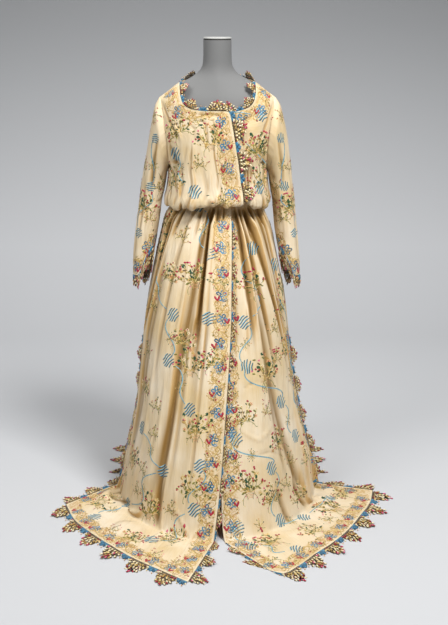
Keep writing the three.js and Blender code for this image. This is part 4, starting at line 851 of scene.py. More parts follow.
left.crease(
    (8, 14, -9, 2.2, 17, 2.3, 19.5, 2.6, 22, 2.9, 25), (7, 12, 4, 2.6, 17.4, 2.8, 20, 3.1, 23, 3.4, 25),
    (9, 15, -9, 3, 17, 3.3, 19.5, 3.8, 22.5, 4.2, 26),
    (9, 16, -8, 3.9, 17, 4.2, 19.5, 4.8, 22.5, 5.1, 26), (8, 14, 5, 4.9, 17.2, 5.2, 20, 5.6, 24),
    (10, 17, -11, 5.9, 17, 5.9, 20, 5.9, 23.5, 6, 28), (8, 13, 5, 6.3, 17.5, 6.35, 21, 6.4, 25.5),
    (12, 18, 7, 4.7, 27.2, 4.85, 29.2, 5.4, 31, 6.6, 32.3), (10, 14, -8, 4.2, 28, 4.45, 29.3, 4.9, 30.8),
    (16, 24, -5, 3.2, 27.5, 3.5, 29.5, 3.7, 31.5), (10, 10, -4, 5.8, 31.6, 6.6, 32.1, 7.8, 32.3),
    (7, 7, 2.4, 2.6, 31.4, 3.6, 32.2, 5, 32.6), (18, 38, -5, 3.2, 21, 3.6, 24.5, 4.4, 28, 5, 30),
    (16, 36, -5, 7, 19, 7.3, 23, 7.9, 27.5), (10, 18, -4.5, 9.2, 9.6, 9.1, 11.6, 9, 13.4),
    (9, 20, -4, 7.6, 9.8, 7.3, 11.8, 7.4, 13.4), (9, 22, -3, 5.8, 10.2, 6, 13.4),
    (11, 20, -4, 9.8, 4.4, 8.8, 6.6, 8.2, 9.4), *crinkles(31, (0.6, 9.6), (18, 30), 26, 8, 2.2),
    *crinkles(32, (1.2, 9.6), (3, 9), 18, 8, 2.0), (7, 7, -4, 6.6, 17.8, 6.7, 20, 6.9, 23),
    (8, 8, -6, 7.3, 17.6, 7.4, 20, 7.6, 24), (8, 8, -6, 8.1, 17.6, 8.1, 20, 8.2, 23),
    (6, 6, -4, 8.9, 17.8, 9, 20, 9.1, 22), (16, 16, -3.5, 3.4, 24, 3.7, 26.4, 4, 28.5),
    (22, 22, 5, 5.1, 25, 5.4, 28, 5.3, 30.4), (15, 15, -8, 6.9, 26, 7.4, 28.6, 7.8, 30.8),
    (11, 11, 9, 8.3, 27.5, 8.6, 29.6, 8.7, 31), (9, 9, -7, 7.9, 30.4, 8.3, 31.2, 8.9, 31.8),
    (9, 9, 6, 7.2, 31.3, 8.2, 31.9, 9.2, 32.2), (6, 6, -2, 1.6, 25.2, 2.8, 25, 3.9, 25.3),
    (6, 6, 2.2, 1.4, 26.1, 2.6, 26.5, 3.7, 26.2), (6, 6, -2, 1.8, 27, 3, 26.9, 4.2, 27.4),
    (7, 7, 1.8, 2, 27.9, 3.2, 28.2, 4.2, 28), (10, 10, 3, 2.2, 30.2, 3.1, 31.6, 4.4, 32.4),
    (8, 8, 2.5, 1, 30.6, 1.6, 32, 1.4, 33), (11, 11, -2.5, 5.8, 31.6, 5.6, 32.6, 6, 33.6),
    (9, 9, -3.5, 9.8, 6.2, 8.2, 7.2, 6.8, 7.6), (9, 9, -3.5, 9.9, 7.2, 8.6, 8.6, 8, 10.2),
    (7, 7, -3, 9.5, 8.6, 9, 9.8, 8.9, 11.4), (8, 8, -3, 9.7, 1.5, 8.8, 3.2, 8.4, 5),
    (8, 8, -2, 7.4, 8, 7.1, 9.6, 7.3, 11.6), (12, 24, -4, 3.6, 10.4, 3.7, 12.8, 3.7, 15.4),
    (12, 24, 4.5, 5.6, 10.2, 5.7, 12.8, 5.7, 15.4), *tucks(3, 1.0, 9.7, 28, 18, 2.6, 5.0),
    *tucks(4, 2.4, 9.7, 16, 12.6, -1.4, 2.2))
back.crease(
    *[(9, wide, -deep, c, 17, c + lean / 2, (17 + end) / 2, c + lean, end)
      for c, lean, end, wide, deep in (
          (-5.1, -0.4, 27.5, 18, 9), (-4.3, -0.3, 22.5, 13, 5), (-3.2, -0.1, 28.6, 22, 7),
          (-2.4, -0.3, 23.4, 12, 4), (-1.5, 0.1, 26.5, 19, 10), (-0.5, -0.1, 22.0, 13, 5),
          (0.5, 0.2, 28.0, 24, 7), (1.3, 0.1, 23.0, 12, 4), (2.3, 0.3, 26.2, 17, 9),
          (3.4, 0.1, 23.8, 14, 5), (4.2, 0.4, 28.4, 20, 8), (5.2, 0.3, 24.6, 14, 6))],
    *[(9, 20, -3.5, c, 9.6, c + 0.2, 11.6, c, 13.4) for c in (-5.2, -3.6, -1.7, 0.1, 1.6, 3.5, 4.9)],
    *crinkles(41, (-5.6, 5.6), (18, 30), 34, 8, 2.2), *crinkles(42, (-5.0, 5.0), (2, 9), 26, 8, 2.0),
    (20, 20, -5, -2.2, 25, -2.4, 28, -2.2, 31), (20, 20, -5, 2.6, 25, 2.5, 28, 2.8, 31),
    (13, 13, 6, -4, 28, -3.6, 30.6, -3.2, 32.2), (13, 13, 5, 4.2, 28, 3.9, 30.6, 3.4, 32.2),
    (12, 12, 3, -1.1, 30.4, -0.6, 31.8, -0.9, 33), (12, 12, 3, 1.2, 30.4, 1.5, 31.8, 1.1, 33),
    (9, 9, -3, -5.6, 7, -4.4, 8, -3.4, 8.6), (9, 9, -3, 5.6, 7, 4.5, 8.2, 3.4, 8.7),
    (12, 12, -3, -3.2, 2.2, -2.6, 5, -2.4, 8.6), (12, 12, -3, 3.2, 2.2, 2.7, 5, 2.3, 8.8),
    (10, 10, -2.5, -0.8, 6, -0.7, 9, -1, 11.6), (10, 10, -2.5, 1.1, 6.4, 1, 9, 1.2, 11.6),
    *tucks(5, -5.7, 5.7, 40, 18, 2.4, 5.0), *tucks(6, -5.7, 5.7, 30, 12.6, -1.4, 2.2))
for name, flip in (("right", 1), ("left", -1)):
    sleeves[name].crease(
        (9, 9, -4, 3.2, 0.2, 3.4, 2, 3.9, 4), (9, 9, -4, 6.4, 0.2, 6, 1.5, 5.2, 2.6),
        (8, 8, -4, 7.4, 1.2, 6.6, 2.6, 5.6, 3.6), (7, 7, -3.5, 7.8, 3.2, 6.6, 4, 5.2, 4.3),
        (7, 7, -3, 7.9, 4.4, 6.9, 5, 5.8, 5.1), (10, 10, -2.5 * flip, 2, 3.2, 2.4, 5, 2.2, 7),
        (9, 9, 2.5, 4.4, 4.6, 4.2, 6, 4.5, 7.4), (9, 9, -2.5, 1, 5.4, 1.4, 7, 1.2, 8.4),
        (10, 10, -4, 11.5, 0.4, 11.2, 2.4, 11.6, 4.4), (9, 9, -3.5, 13.6, 1, 13.2, 3, 13.5, 5),
        (8, 8, -3.5, 9.2, 3.4, 10.4, 4.2, 11.8, 4.4), (7, 7, -3, 9.4, 5, 10.6, 5.2, 11.6, 5),
        *crinkles(51 + flip, (0.8, 15.2), (0.5, 6), 18, 7, 2.0))

# %% Pieces
for name, cloth, gilt in (
        ("front_right", right, ("front", "hem", "slits")),
        ("front_left", left, ("front", "hem", "slits")),
        ("back", back, ("neck", "hem", "slits")),
        ("sleeve_right", sleeves["right"], ("hem",)),
        ("sleeve_left", sleeves["left"], ("hem",))):
    sheet_piece("silk_" + name, cloth, silk, gilt=gilt)
    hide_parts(name)


# %% [markdown]
# ## The dress form and its stand
# The robe hangs on a limbless form with a smooth cylinder for a neck. Below the cloth it is a
# hair slimmer than the solid, so that no part of it comes through the silk. The neck ends in a
# cap painted pale, which stands in for the highlight along its rim, over a narrow seam painted
# near-black as shade, and a plain steel pole carries it from a round base.

# %% Materials of the form
def painted_material(name, low, high, roughness, grain):
    """smooth paint whose tone and gloss drift a little, over a fine orange-peel surface"""
    made, tree = new_material(name)
    coords = add(tree, "TexCoord")
    # clouds about 200 mm across, and a grain of about a millimetre or less
    cloud = add(tree, "TexNoise", {"Vector": coords.outputs["Object"], "Scale": 5, "Detail": 4})
    peel = add(tree, "TexNoise", {"Vector": coords.outputs["Object"], "Scale": grain})
    tone = add(tree, "ValToRGB", {"Fac": cloud}, stops=((0, low), (1, high)))
    gloss = add(tree, "MapRange", {
        "Value": cloud, "To Min": roughness - 0.06, "To Max": roughness + 0.06})
    bump = add(tree, "Bump", {"Height": peel, "Strength": 0.15, "Distance": 0.0004})
    base = add(tree, "BsdfPrincipled", {"Base Color": tone, "Roughness": gloss, "Normal": bump})
    add(tree, "OutputMaterial", {"Surface": base})
    return made


shell = painted_material("grey painted fibreglass", "70706f", "757574", 0.75, 900)
# painted highlight: the cap is painted pale for the bright line along the neck's top
cap_highlight_paint = painted_material("cap painted pale as a highlight", "a6a6a2", "adada9", 0.5, 900)
# painted shade: the groove under the cap is painted near-black
seam_shade = painted_material("painted shade in the seam", "17130f", "1f1a15", 0.9, 2500)
steel = painted_material("powder-coated steel", "8d8f91", "97999b", 0.4, 1600)


# %% Form, cap, pole and base
def torso_points(around=96, step=12):
    """rings of the form from its lower end to the neck's top, a hair slimmer where cloth lies"""
    z = np.linspace(TORSO["z"][0], NECK_TOP, round((NECK_TOP - TORSO["z"][0]) / step))
    turn = np.linspace(0, 2 * math.pi, around + 1)
    rings = []
    for height in z:
        side, front, back_, power = (float(read(TORSO, "z", height, k))
                                     for k in ("side", "front", "back", "power"))
        slim = 1.6 * smooth((1455 - height) / 30)
        sin, cos = np.sin(turn), np.cos(turn)
        wide = np.sign(sin) * np.abs(sin) ** (2 / power)
        deep = np.sign(cos) * np.abs(cos) ** (2 / power)
        rings.append(np.stack([(side - slim) * wide,
                               -np.where(cos > 0, front - slim, back_ - slim) * deep,
                               height + 0 * turn], axis=1))
    middle = [np.tile((0, 0, height), (around + 1, 1)) for height in (z[0], z[-1])]
    return np.array([middle[0], *rings, middle[1]]) * MM


def turned_points(profile, around=64):
    """points of a turned solid from its profile of radius and height in mm, lowest first"""
    turn = np.linspace(0, 2 * math.pi, around + 1)
    return np.array([np.stack([r * np.sin(turn), -r * np.cos(turn), z + 0 * turn], axis=1)
                     for r, z in profile]) * MM


def turned_piece(name, profile, material, node=None):
    """a turned solid as a piece, in the place of a node of the frame if one is given"""
    mesh = grid_mesh(name, turned_points(profile), 1)
    mesh.set_sharp_from_angle(angle=math.radians(40))
    piece = place_piece(mesh, material)
    if node:
        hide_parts(node)
    return piece


NECK_TOP, NECK_RADIUS, CAP_TOP = 1591, 48, 1600
form = place_piece(grid_mesh("form_body", torso_points()), shell)
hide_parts("dress_form")
form.data.set_sharp_from_angle(angle=math.radians(60))
cap = turned_piece("form_cap", [
    (0, 1594), (NECK_RADIUS - 1.5, 1594), (NECK_RADIUS, 1595.2), (NECK_RADIUS, CAP_TOP - 1.6),
    (NECK_RADIUS - 0.6, CAP_TOP - 0.5), (NECK_RADIUS - 1.8, CAP_TOP), (0, CAP_TOP)],
    cap_highlight_paint, "neck_cap")
seam = turned_piece("form_seam", [
    (0, NECK_TOP - 2), (NECK_RADIUS - 1.2, NECK_TOP - 2), (NECK_RADIUS - 1.2, 1596), (0, 1596)],
    seam_shade)
pole = turned_piece("stand_tube", [
    (0, 10.3), (12.5, 10.3), (12.5, 771.5), (0, 771.5)], steel, "stand_pole")
foot = turned_piece("stand_plate", [
    (0, 0), (164.5, 0), (165, 0.5), (165, 7), (164.4, 8.6), (163, 9.6), (161, 10), (0, 10)],
    steel, "stand_base")
print("form and stand:", [o.name for o in (form, cap, seam, pole, foot)])


# %% [markdown]
# ## Needlework
# Embroidery and needle lace are the same three things in large numbers: threads, petals and
# knots. A `Motif` gathers them lying flat, in millimetres to the right, down and up. It can
# then be laid on any cloth or edge as often as it is needed, and each piece becomes one mesh.
# A thread has a raised crest and a petal is domed, so that floss catches the light as it does
# on silk.

# %% Motifs
class Motif:
    """points, triangles and floss numbers of a pattern that lies flat; one that hangs free has
    an underside too"""

    def __init__(self, free=False):
        self.points, self.faces, self.floss, self.free = [], [], [], free

    def put(self, points, faces, floss):
        start = sum(len(p) for p in self.points)
        self.points.append(np.asarray(points, float))
        self.faces.append(np.asarray(faces) + start)
        self.floss.append(np.full(len(faces), FLOSS_NAMES.index(floss)))

    def done(self):
        """the whole motif as three arrays"""
        return tuple(np.concatenate(part) for part in (self.points, self.faces, self.floss))

    def thread(self, path, width, floss, rise=0.5, base=0.0, closed=False):
        """a thread along a path, with a crest"""
        flat = np.asarray(path, float)
        level = np.full(len(flat), float(base))
        if closed:
            ahead = np.roll(flat, -1, axis=0) - np.roll(flat, 1, axis=0)
        else:
            ahead = np.gradient(flat, axis=0)
        aside = unit(ahead)[:, ::-1] * (-1, 1) * np.reshape(width, (-1, 1)) / 2
        lines = [np.column_stack([flat - aside, level]), np.column_stack([flat, level + rise]),
                 np.column_stack([flat + aside, level])]
        if self.free:
            lines.append(np.column_stack([flat, level - rise]))
        n, sides = len(flat), len(lines)
        faces = []
        for i in range(n if closed else n - 1):
            for a in range(sides if self.free else sides - 1):
                b, k = (a + 1) % sides, (i + 1) % n
                one, two, three, four = i * sides + a, k * sides + a, k * sides + b, i * sides + b
                faces += [(one, two, three), (one, three, four)]
        self.put(np.stack(lines, axis=1).reshape(-1, 3), faces, floss)

    def petal(self, at, angle, length, width, floss, rise=0.6, base=0.0, fat=0.5):
        """a domed leaf from its foot to its tip; fat is where along it is widest"""
        along = np.array([fat] if length < 9 else [0.3, 0.74]) * length
        half = np.array([1] if length < 9 else [0.92 * min(1, 0.5 / fat), 0.92]) * width / 2
        level = np.full(len(along), base)
        belt = np.stack([np.column_stack([along, side * half, level + (side == 0) * rise])
                         for side in (-1, 0, 1)], axis=1).reshape(-1, 3)
        tip = len(belt) + 1
        points = np.concatenate([[(0, 0, base)], belt, [(length, 0, base + 0.1 * rise)]])
        faces = [(0, 2, 1), (0, 3, 2), (tip - 3, tip - 2, tip), (tip - 1, tip, tip - 2)]
        if length >= 9:
            faces += [(1, 2, 5), (1, 5, 4), (3, 5, 2), (3, 6, 5)]
        if self.free:
            crest = range(2, tip, 3)
            low = {k: tip + 1 + number for number, k in enumerate(crest)}
            points = np.concatenate([points, points[list(crest)] - (0, 0, 1.4 * rise)])
            faces += [tuple(low.get(k, k) for k in face[::-1]) for face in faces]
        turn = np.array([[math.cos(angle), math.sin(angle)], [-math.sin(angle), math.cos(angle)]])
        points[:, :2] = points[:, :2] @ turn + at
        self.put(points, [face[::-1] for face in faces], floss)

    def knot(self, at, radius, floss, rise=None, base=0.0):
        """a small round knot or bead"""
        rise = radius if rise is None else rise
        turn = np.linspace(0, 2 * math.pi, 7)[:-1]
        ring = np.column_stack([np.cos(turn), np.sin(turn)])
        low = np.column_stack([ring * radius + at, np.full(6, base)])
        mid = np.column_stack([ring * radius * 0.7 + at, np.full(6, base + rise * 0.72)])
        points = [low, mid, [[*at, base + rise]]]
        faces = []
        for k in range(6):
            n = (k + 1) % 6
            faces += [(k, n, 6 + n), (k, 6 + n, 6 + k), (6 + k, 6 + n, 12)]
        if self.free:
            points.append([[*at, base - rise]])
            faces += [((k + 1) % 6, k, 13) for k in range(6)]
        self.put(np.concatenate(points), faces, floss)


def bow(start, end, sag, count=7):
    """a curved path between two places; sag bends it to one side"""
    start, end = np.asarray(start, float), np.asarray(end, float)
    t = np.linspace(0, 1, count)[:, None]
    aside = (end - start)[::-1] * (-1, 1)
    return start + (end - start) * t + aside * sag * 4 * t * (1 - t)


# %% Floss
FLOSS = {
    "sky blue": ("2b6788", "4588aa", 0.45), "deep blue": ("1b4a62", "306783", 0.45),
    "pale blue": ("6f9eaa", "92bac2", 0.45), "slate": ("213a45", "36545f", 0.5),
    "crimson": ("8a0a24", "b01430", 0.42), "rose": ("c44468", "df6a8c", 0.45),
    "leaf green": ("16361d", "28502b", 0.45), "olive": ("5c591a", "8a8434", 0.5),
    "apricot": ("cc8e50", "e2ae74", 0.45), "straw": ("d2b46e", "e8d294", 0.45),
    "ivory": ("e2d09e", "f2e6c2", 0.45), "umber": ("49351a", "705830", 0.55),
    "gilt": ("a9833f", "caa65e", 0.4)}
FLOSS_NAMES = list(FLOSS)


def floss_material(name, low, high, roughness):
    """twisted silk: a tone that varies from stitch to stitch, and the fine lines of its twist"""
    made, tree = new_material(name + " silk floss" if name != "gilt" else "gilt couching thread")
    coords = add(tree, "TexCoord")
    # the tone drifts over about 6 mm, the length of a stitch, and the twist's lines are 0.5 mm
    drift = add(tree, "TexNoise", {"Vector": coords.outputs["Object"], "Scale": 160, "Detail": 2})
    tone = add(tree, "ValToRGB", {"Fac": drift}, stops=((0.35, low), (0.65, high)))
    twist = add(tree, "TexNoise", {"Vector": coords.outputs["Object"], "Scale": 1800, "Detail": 1})
    bump = add(tree, "Bump", {"Height": twist, "Strength": 0.3, "Distance": 0.0003})
    base = add(tree, "BsdfPrincipled", {
        "Base Color": tone, "Roughness": roughness, "Normal": bump,
        "Metallic": 0.2 if name == "gilt" else 0.0, "Sheen Weight": 0.15})
    add(tree, "OutputMaterial", {"Surface": base})
    return made


threads = [floss_material(name, *look) for name, look in FLOSS.items()]


class Work:
    """needlework laid in place, which becomes one piece"""

    def __init__(self):
        self.points, self.faces, self.floss, self.count = [], [], [], 0

    def lay(self, points, faces, floss, flip=False):
        self.points.append(points)
        self.faces.append((faces[:, ::-1] if flip else faces) + self.count)
        self.floss.append(floss)
        self.count += len(points)

    def piece(self, name):
        faces, floss = np.concatenate(self.faces), np.concatenate(self.floss)
        mesh = bpy.data.meshes.new(name)
        mesh.from_pydata(np.concatenate(self.points), [], faces)
        mesh.shade_smooth()
        made = place_piece(mesh, *threads)
        mesh.polygons.foreach_set("material_index", floss.astype(np.int32))
        print(name, len(faces), "triangles")
        return made


# %% [markdown]
# ## Oya, the needle lace
# Every edge of the robe carries it. One repeat is about 117 mm long: a blue bridge with a
# bead at each outer corner, then a fan of net, brown at its root and golden at its tip, that
# holds a pyramid of cream and gold petals with crimson and rose ones towards its tip. No two
# repeats are quite alike, so four are worked and used in turn. The lace is laid along an
# `Edge`, which knows for each point of the silk's edge the way the lace stands out and the way
# it is thick.

# %% One repeat
REPEAT, REACH = 117, 76    # the length of a repeat along the edge and how far it stands out
ROWS_OF_PETALS = ((13, 6, 56), (24, 6, 50), (36, 5, 40), (47, 4, 29), (58, 3, 18), (67, 1, 0))


def lace_repeat(rng):
    """a bridge and a fan; the rows of petals say how far out, how many and how widely spread"""
    m = Motif(free=True)
    bridge, middle = 20, 77
    m.thread(bow((1, 3), (39, 3), 0.02, 5), 6.5, "sky blue", rise=1.1, base=0.6)
    for k, angle in enumerate(np.linspace(0.45, math.pi - 0.45, 5)):
        m.petal((bridge, 3), angle + rng.normal(0, 0.08), rng.uniform(22, 26), 11,
                "deep blue" if k % 2 else "sky blue", 1.6, 0.8 + 0.6 * (k % 2))
    for side in (-1, 1):
        m.petal((bridge + 14 * side, 5), math.pi / 2 - 0.4 * side, 16, 8, "ivory", 1.4, 0.3)
        m.knot(np.add((bridge + 10 * side, 29), rng.normal(0, 1, 2)), 2.6,
               "apricot" if rng.random() < 0.4 else "straw", base=1.5)
        m.knot(np.add((bridge + 22 * side, 9), rng.normal(0, 1, 2)), 2.5,
               "crimson" if rng.random() < 0.5 else "rose", base=1.2)
    for out, half, count, net in ((-1, 28, 8, "umber"), (18, 22, 6, "umber"), (38, 11, 4, "gilt")):
        for share in np.linspace(-1, 1, count):
            m.petal((middle + half * share, out), math.pi / 2 - 0.3 * share, rng.uniform(21, 26), 10,
                    net, 0.7, 0.1)
    for out in (9, 19):
        wide = 33 - 0.4 * out
        cord = bow((middle - wide, out), (middle + wide, out), 0.02, 6)
        m.thread(cord, 1.4, "straw", 0.7, 0.9)
    for out, count, spread in ROWS_OF_PETALS:
        for k in range(count):
            share = 0 if count == 1 else k / (count - 1) * 2 - 1
            at = (middle + share * spread / 2 + rng.normal(0, 1.6), out - 4 + rng.normal(0, 1.4))
            angle = math.pi / 2 - share * 0.75 + rng.normal(0, 0.35)
            tip = rng.random() < (0.12 if out < 40 else 0.42) or out > 60
            floss = ("ivory", "straw", "ivory", "gilt")[rng.integers(4)]
            if tip:
                floss = "crimson" if rng.random() < 0.62 else "rose"
            base = 1 + 2.2 * rng.random()
            size = rng.uniform(12.5, 15.5) * (0.85 if tip else 1)
            # partly painted shadow: most petals get an umber one under them, a little lower and turned,
            # for the brown lattice between the petals and for their shadow
            if k % 3 < 2:
                m.petal(at, angle + 0.3, size, 8.8, "umber", 0.9, base - 0.9)
            m.petal(at, angle, size, 8, floss, 2, base)
            if rng.random() < 0.3:
                m.knot(np.add(at, rng.normal(0, 3, 2)), 1.9, "crimson", base=base + 1)
            if rng.random() < 0.35:
                m.petal(np.add(at, rng.normal(0, 3, 2)), angle + rng.choice((-1, 1)), 8, 4,
                        "olive" if rng.random() < 0.5 else "umber", 1, base - 0.4)
    return m.done()


rng = np.random.default_rng(41)
REPEATS = [lace_repeat(rng) for _ in range(4)]
print("lace repeats:", [len(r[1]) for r in REPEATS], "triangles")


# %% Edges
EDGE_LACE, HEM_LACE, NECK_LACE, CUFF_LACE = 0.052, 0.083, 0.040, 0.060    # metres beyond the silk


class Edge:
    """an edge of the silk in metres; share shortens the lace, lift raises its tips"""

    def __init__(self, p, out, n, reach, share=None, lift=0.0):
        self.p, self.out, self.n, self.reach, self.lift = p, unit(out), unit(n), reach, lift
        self.share = np.ones(len(p)) if share is None else share
        self.s = np.concatenate([[0], np.cumsum(np.linalg.norm(np.diff(p, axis=0), axis=1))])
        ahead = np.gradient(p, axis=0)
        self.flip = np.sum(np.cross(ahead, self.out) * self.n) < 0

    def lay(self, work, motif, start, stretch=1.0, curl=0.0):
        points, faces, floss = motif
        a = start + points[:, 0] * MM * stretch
        k = np.interp(a, self.s, np.arange(len(self.s)))
        i = np.minimum(k.astype(int), len(self.s) - 2)
        f = (k - i)[:, None]
        p, out, n = (v[i] * (1 - f) + v[i + 1] * f for v in (self.p, self.out, self.n))
        share = (self.share[i] * (1 - f[:, 0]) + self.share[i + 1] * f[:, 0])[:, None]
        away = points[:, 1:2] / REACH * self.reach * share + 0.0008
        rise = points[:, 2:3] * MM * (0.45 + 0.55 * self.reach / REACH / MM)
        rise = rise + (self.lift + curl) * points[:, 1:2] / REACH
        placed = p + unit(out) * away + unit(n) * rise
        placed[:, 2] = np.maximum(placed[:, 2], 0.0003)
        work.lay(placed, faces, floss, self.flip)

    def trim(self, work, repeat, start, layers=1):
        """the whole edge: repeats side by side, a braid at the root and a cord on the silk; a
        second layer stands half a repeat on, between the fans of the first"""
        total, curls = self.s[-1], 0.004
        count = max(1, round(total / repeat))
        for k in range((count - 1) * layers + 1):
            self.lay(work, REPEATS[(k + start) % 4], total * k / layers / count,
                     total / count / REPEAT / MM, curls * math.sin(2.3 * k + start))
        a = np.linspace(0, total / MM, max(4, round(total / 0.007)))
        border = Motif(free=True)
        border.thread(np.column_stack([a, -1.2 + 0 * a]), 2.6, "ivory", 1.2, 0.3)
        border.thread(np.column_stack([a, 1.6 + 0.9 * np.sin(a)]), 2, "umber", 0.9)
        self.lay(work, border.done(), 0)


def rows_between(cloth, first, last):
    return np.flatnonzero((cloth.rows >= first - 1e-6) & (cloth.rows <= last + 1e-6))


def front_edge(cloth, first, last, shares=None, lift=0.0):
    """the lace of a front's free edge; shares is how long it gets over the floor"""
    i = rows_between(cloth, first, last)
    out = cloth.p[i, 0] - cloth.p[i, 1]
    share = None
    if shares:
        share = np.interp(cloth.rows[i], np.arange(CONTACT_ROW, HEM_ROW + 1), shares)
    return Edge(cloth.p[i, 0], out, cloth.n[i, 0], EDGE_LACE, share, lift)


def hem_edge(cloth):
    """lace that lies flat on the floor beyond the hem"""
    out = cloth.p[-1] - cloth.p[-2]
    out[:, 2] = 0
    return Edge(cloth.p[-1], out, np.tile((0, 0, 1.0), (len(out), 1)), HEM_LACE)


def slit_edge(cloth, j, steer, first, deeper=0.0):
    """the lace of a side slit; deeper is how much longer it gets where it lies on the floor"""
    i = rows_between(cloth, first, HEM_ROW)
    rows = cloth.rows[i]
    on_floor = smooth((rows - 27) / (CONTACT_ROW - 27))[:, None]
    (hung, hung_n), (laid, laid_n) = steer(rows)
    out = hung * (1 - on_floor) + np.array(laid) * on_floor
    n = hung_n * (1 - on_floor) + np.array(laid_n) * on_floor
    share = 0.3 + 0.7 * smooth(rows - SLIT_ROW) + deeper * on_floor[:, 0]
    return Edge(cloth.p[i, j], out, n, EDGE_LACE, share)


def front_steer(side, keys, flare):
    """the fronts' slit lace flares past the side while it hangs and turns back on the floor"""
    def steer(rows):
        f = np.interp(rows, keys, flare)
        one = np.ones_like(f)
        return ((np.stack([side * f, 0.86 * one, -0.15 * one], axis=1),
                 np.stack([side * 0.87 * one, -f, 0 * one], axis=1)),
                ((side * 0.72, 0.69, 0), (0, 0, 1)))
    return steer


def back_steer(side):
    """the back's slit lace lies forward inside the fronts and turns out on the floor"""
    def steer(rows):
        one = np.ones((len(rows), 1))
        return ((one * (side * -0.22, -0.97, 0), one * (side * 0.97, -0.22, 0)),
                ((side, -0.1, 0), (0, 0, 1)))
    return steer


def neck_edge(cloth, place, face):
    """lace that leans inward over the form's chest, clear of it"""
    p, n = cloth.p[place], cloth.n[place]
    forward = -1 if face == "front" else 1
    along = np.gradient(p, axis=0)
    inward = unit(np.cross(along, n))
    middle = np.array([0, 0.02 if forward > 0 else -0.04, 1.5])
    inward *= np.sign(np.sum(inward * (middle - p), axis=1, keepdims=True))
    tip = p + inward * NECK_LACE
    x, z = tip[:, 0] / MM, tip[:, 2] / MM
    side, deep, power = (read(TORSO, "z", z, k) for k in ("side", face, "power"))
    share = np.minimum(0.98, np.abs(x) / side)
    clear = (deep * (1 - share ** power) ** (1 / power) + 4) * MM
    tip[:, 1] = forward * np.maximum(forward * tip[:, 1], clear)
    out = tip - p
    across = unit(np.cross(along, out))
    across *= np.sign(across[:, 1:2] * forward + across[:, 2:3] * 0.4)
    return Edge(p, out, across, NECK_LACE)


def cuff_edge(cloth):
    """the lace of a cuff, longer in the slit, which it fills"""
    out = cloth.p[-1] - cloth.p[-3]
    slit = hump((cloth.cols / (2 * ARMHOLE_ROW) - CUFF["slit_at"]) / CUFF["slit_half"])
    return Edge(cloth.p[-1], out, cloth.n[-1], CUFF_LACE, 1 + 0.5 * slit)


# %% Lace on every edge
neck_back = np.flatnonzero(np.abs(back.p[0, :, 0]) < NECK_HALF)
SLIT_TOP = SLIT_ROW + 0.3
# each edge with the length that a repeat has on it, in metres
EDGES = {
    "edge_right_bodice": (front_edge(right, 5, 12, lift=0.0035), 0.100),
    "edge_right_skirt": (front_edge(right, 19, HEM_ROW, (0.4, 0.9, 1.2, 1.4), 0.0035), 0.108),
    "edge_left_skirt": (front_edge(left, CONTACT_ROW, HEM_ROW, (0.15, 0.8, 1.2, 1.4)), 0.108),
    "hem_right": (hem_edge(right), 0.117),
    "hem_left": (hem_edge(left), 0.117),
    "hem_back": (hem_edge(back), 0.117),
    "slit_right": (
        slit_edge(right, -1, front_steer(-1, (24, 25, 26, 27), (0.5, 0.45, 0.1, 0)), SLIT_TOP), 0.108),
    "slit_left": (slit_edge(left, -1, front_steer(1, (24, 27), (0.5, 0.5)), SLIT_TOP), 0.108),
    "slit_back_right": (slit_edge(back, 0, back_steer(-1), SLIT_TOP + 0.4, 0.4), 0.108),
    "slit_back_left": (slit_edge(back, -1, back_steer(1), SLIT_TOP + 0.4, 0.4), 0.108),
    "neck_right": (neck_edge(right, (rows_between(right, 0, 5), 0), "front"), 0.082),
    "neck_left": (neck_edge(left, (rows_between(left, 0, 5), 0), "front"), 0.082),
    "neck_back": (neck_edge(back, (0, neck_back), "back"), 0.082),
    "cuff_right": (cuff_edge(sleeves["right"]), 0.085),
    "cuff_left": (cuff_edge(sleeves["left"]), 0.085),
}
for number, (name, (edge, repeat)) in enumerate(EDGES.items()):
    work = Work()
    edge.trim(work, repeat, start=number, layers=2 if "cuff" in name else 1)
    piece = work.piece("oya_" + name)
    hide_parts("lace_" + name)


# %% [markdown]
# ## Embroidery
# The field carries winding blue stems that are tied with striped bows, and between them stand
# bouquets and small baskets of flowers. A band of gilt scrolls, knotted blue flowers and
# crimson tulips follows every edge. Small sprays fill the ground that is left, at places drawn
# by lot. The motifs are the common ones of the craft in a layout of this script's own. Each
# kind is worked in a few versions, since no two made by hand match.

# %% Motifs
def turned(path, angle):
    """a flat path turned by an angle"""
    cos, sin = math.cos(angle), math.sin(angle)
    x, y = np.asarray(path, float).T
    return np.column_stack([x * cos - y * sin, x * sin + y * cos])


def knotted_flower(rng):
    """five open loops of blue thread round a knot, with a short striped tie below"""
    m = Motif()
    round_ = np.linspace(0, 2 * math.pi, 11)[:-1]
    for k in range(5):
        length = rng.uniform(14, 17.5)
        loop = np.column_stack([2 + length * (1 - np.cos(round_)) / 2,
                                rng.uniform(5.2, 6.4) * np.sin(round_) * (0.75 - 0.25 * np.cos(round_))])
        path = turned(loop, 2 * math.pi * (k + 0.25) / 5 + rng.normal(0, 0.14))
        m.thread(path, 4.3, "deep blue" if rng.random() < 0.5 else "sky blue", 0.8, closed=True)
    for k in range(2):
        m.thread(bow((-9, 12 + 5 * k), (8, 17 + 5 * k), 0.2, 5), 2.4, "sky blue", 0.7)
    m.knot((0, 0), 2.8, "straw", 1.3, 0.3)
    return m.done()


def tulip(rng):
    """a crimson tulip seen from the side: two full petals on a pointed foot, a short one between"""
    m = Motif()
    for lean, length in ((-0.33, 23), (0.33, 22), (0, 12)):
        angle = -math.pi / 2 + lean + rng.normal(0, 0.08)
        m.petal((0, 0), angle, length, 9, "crimson", 1.2, 0.2, fat=0.9)
    m.petal((0, 1), math.pi / 2 + rng.normal(0, 0.3), 6, 3.4, "olive", 0.8)
    return m.done()


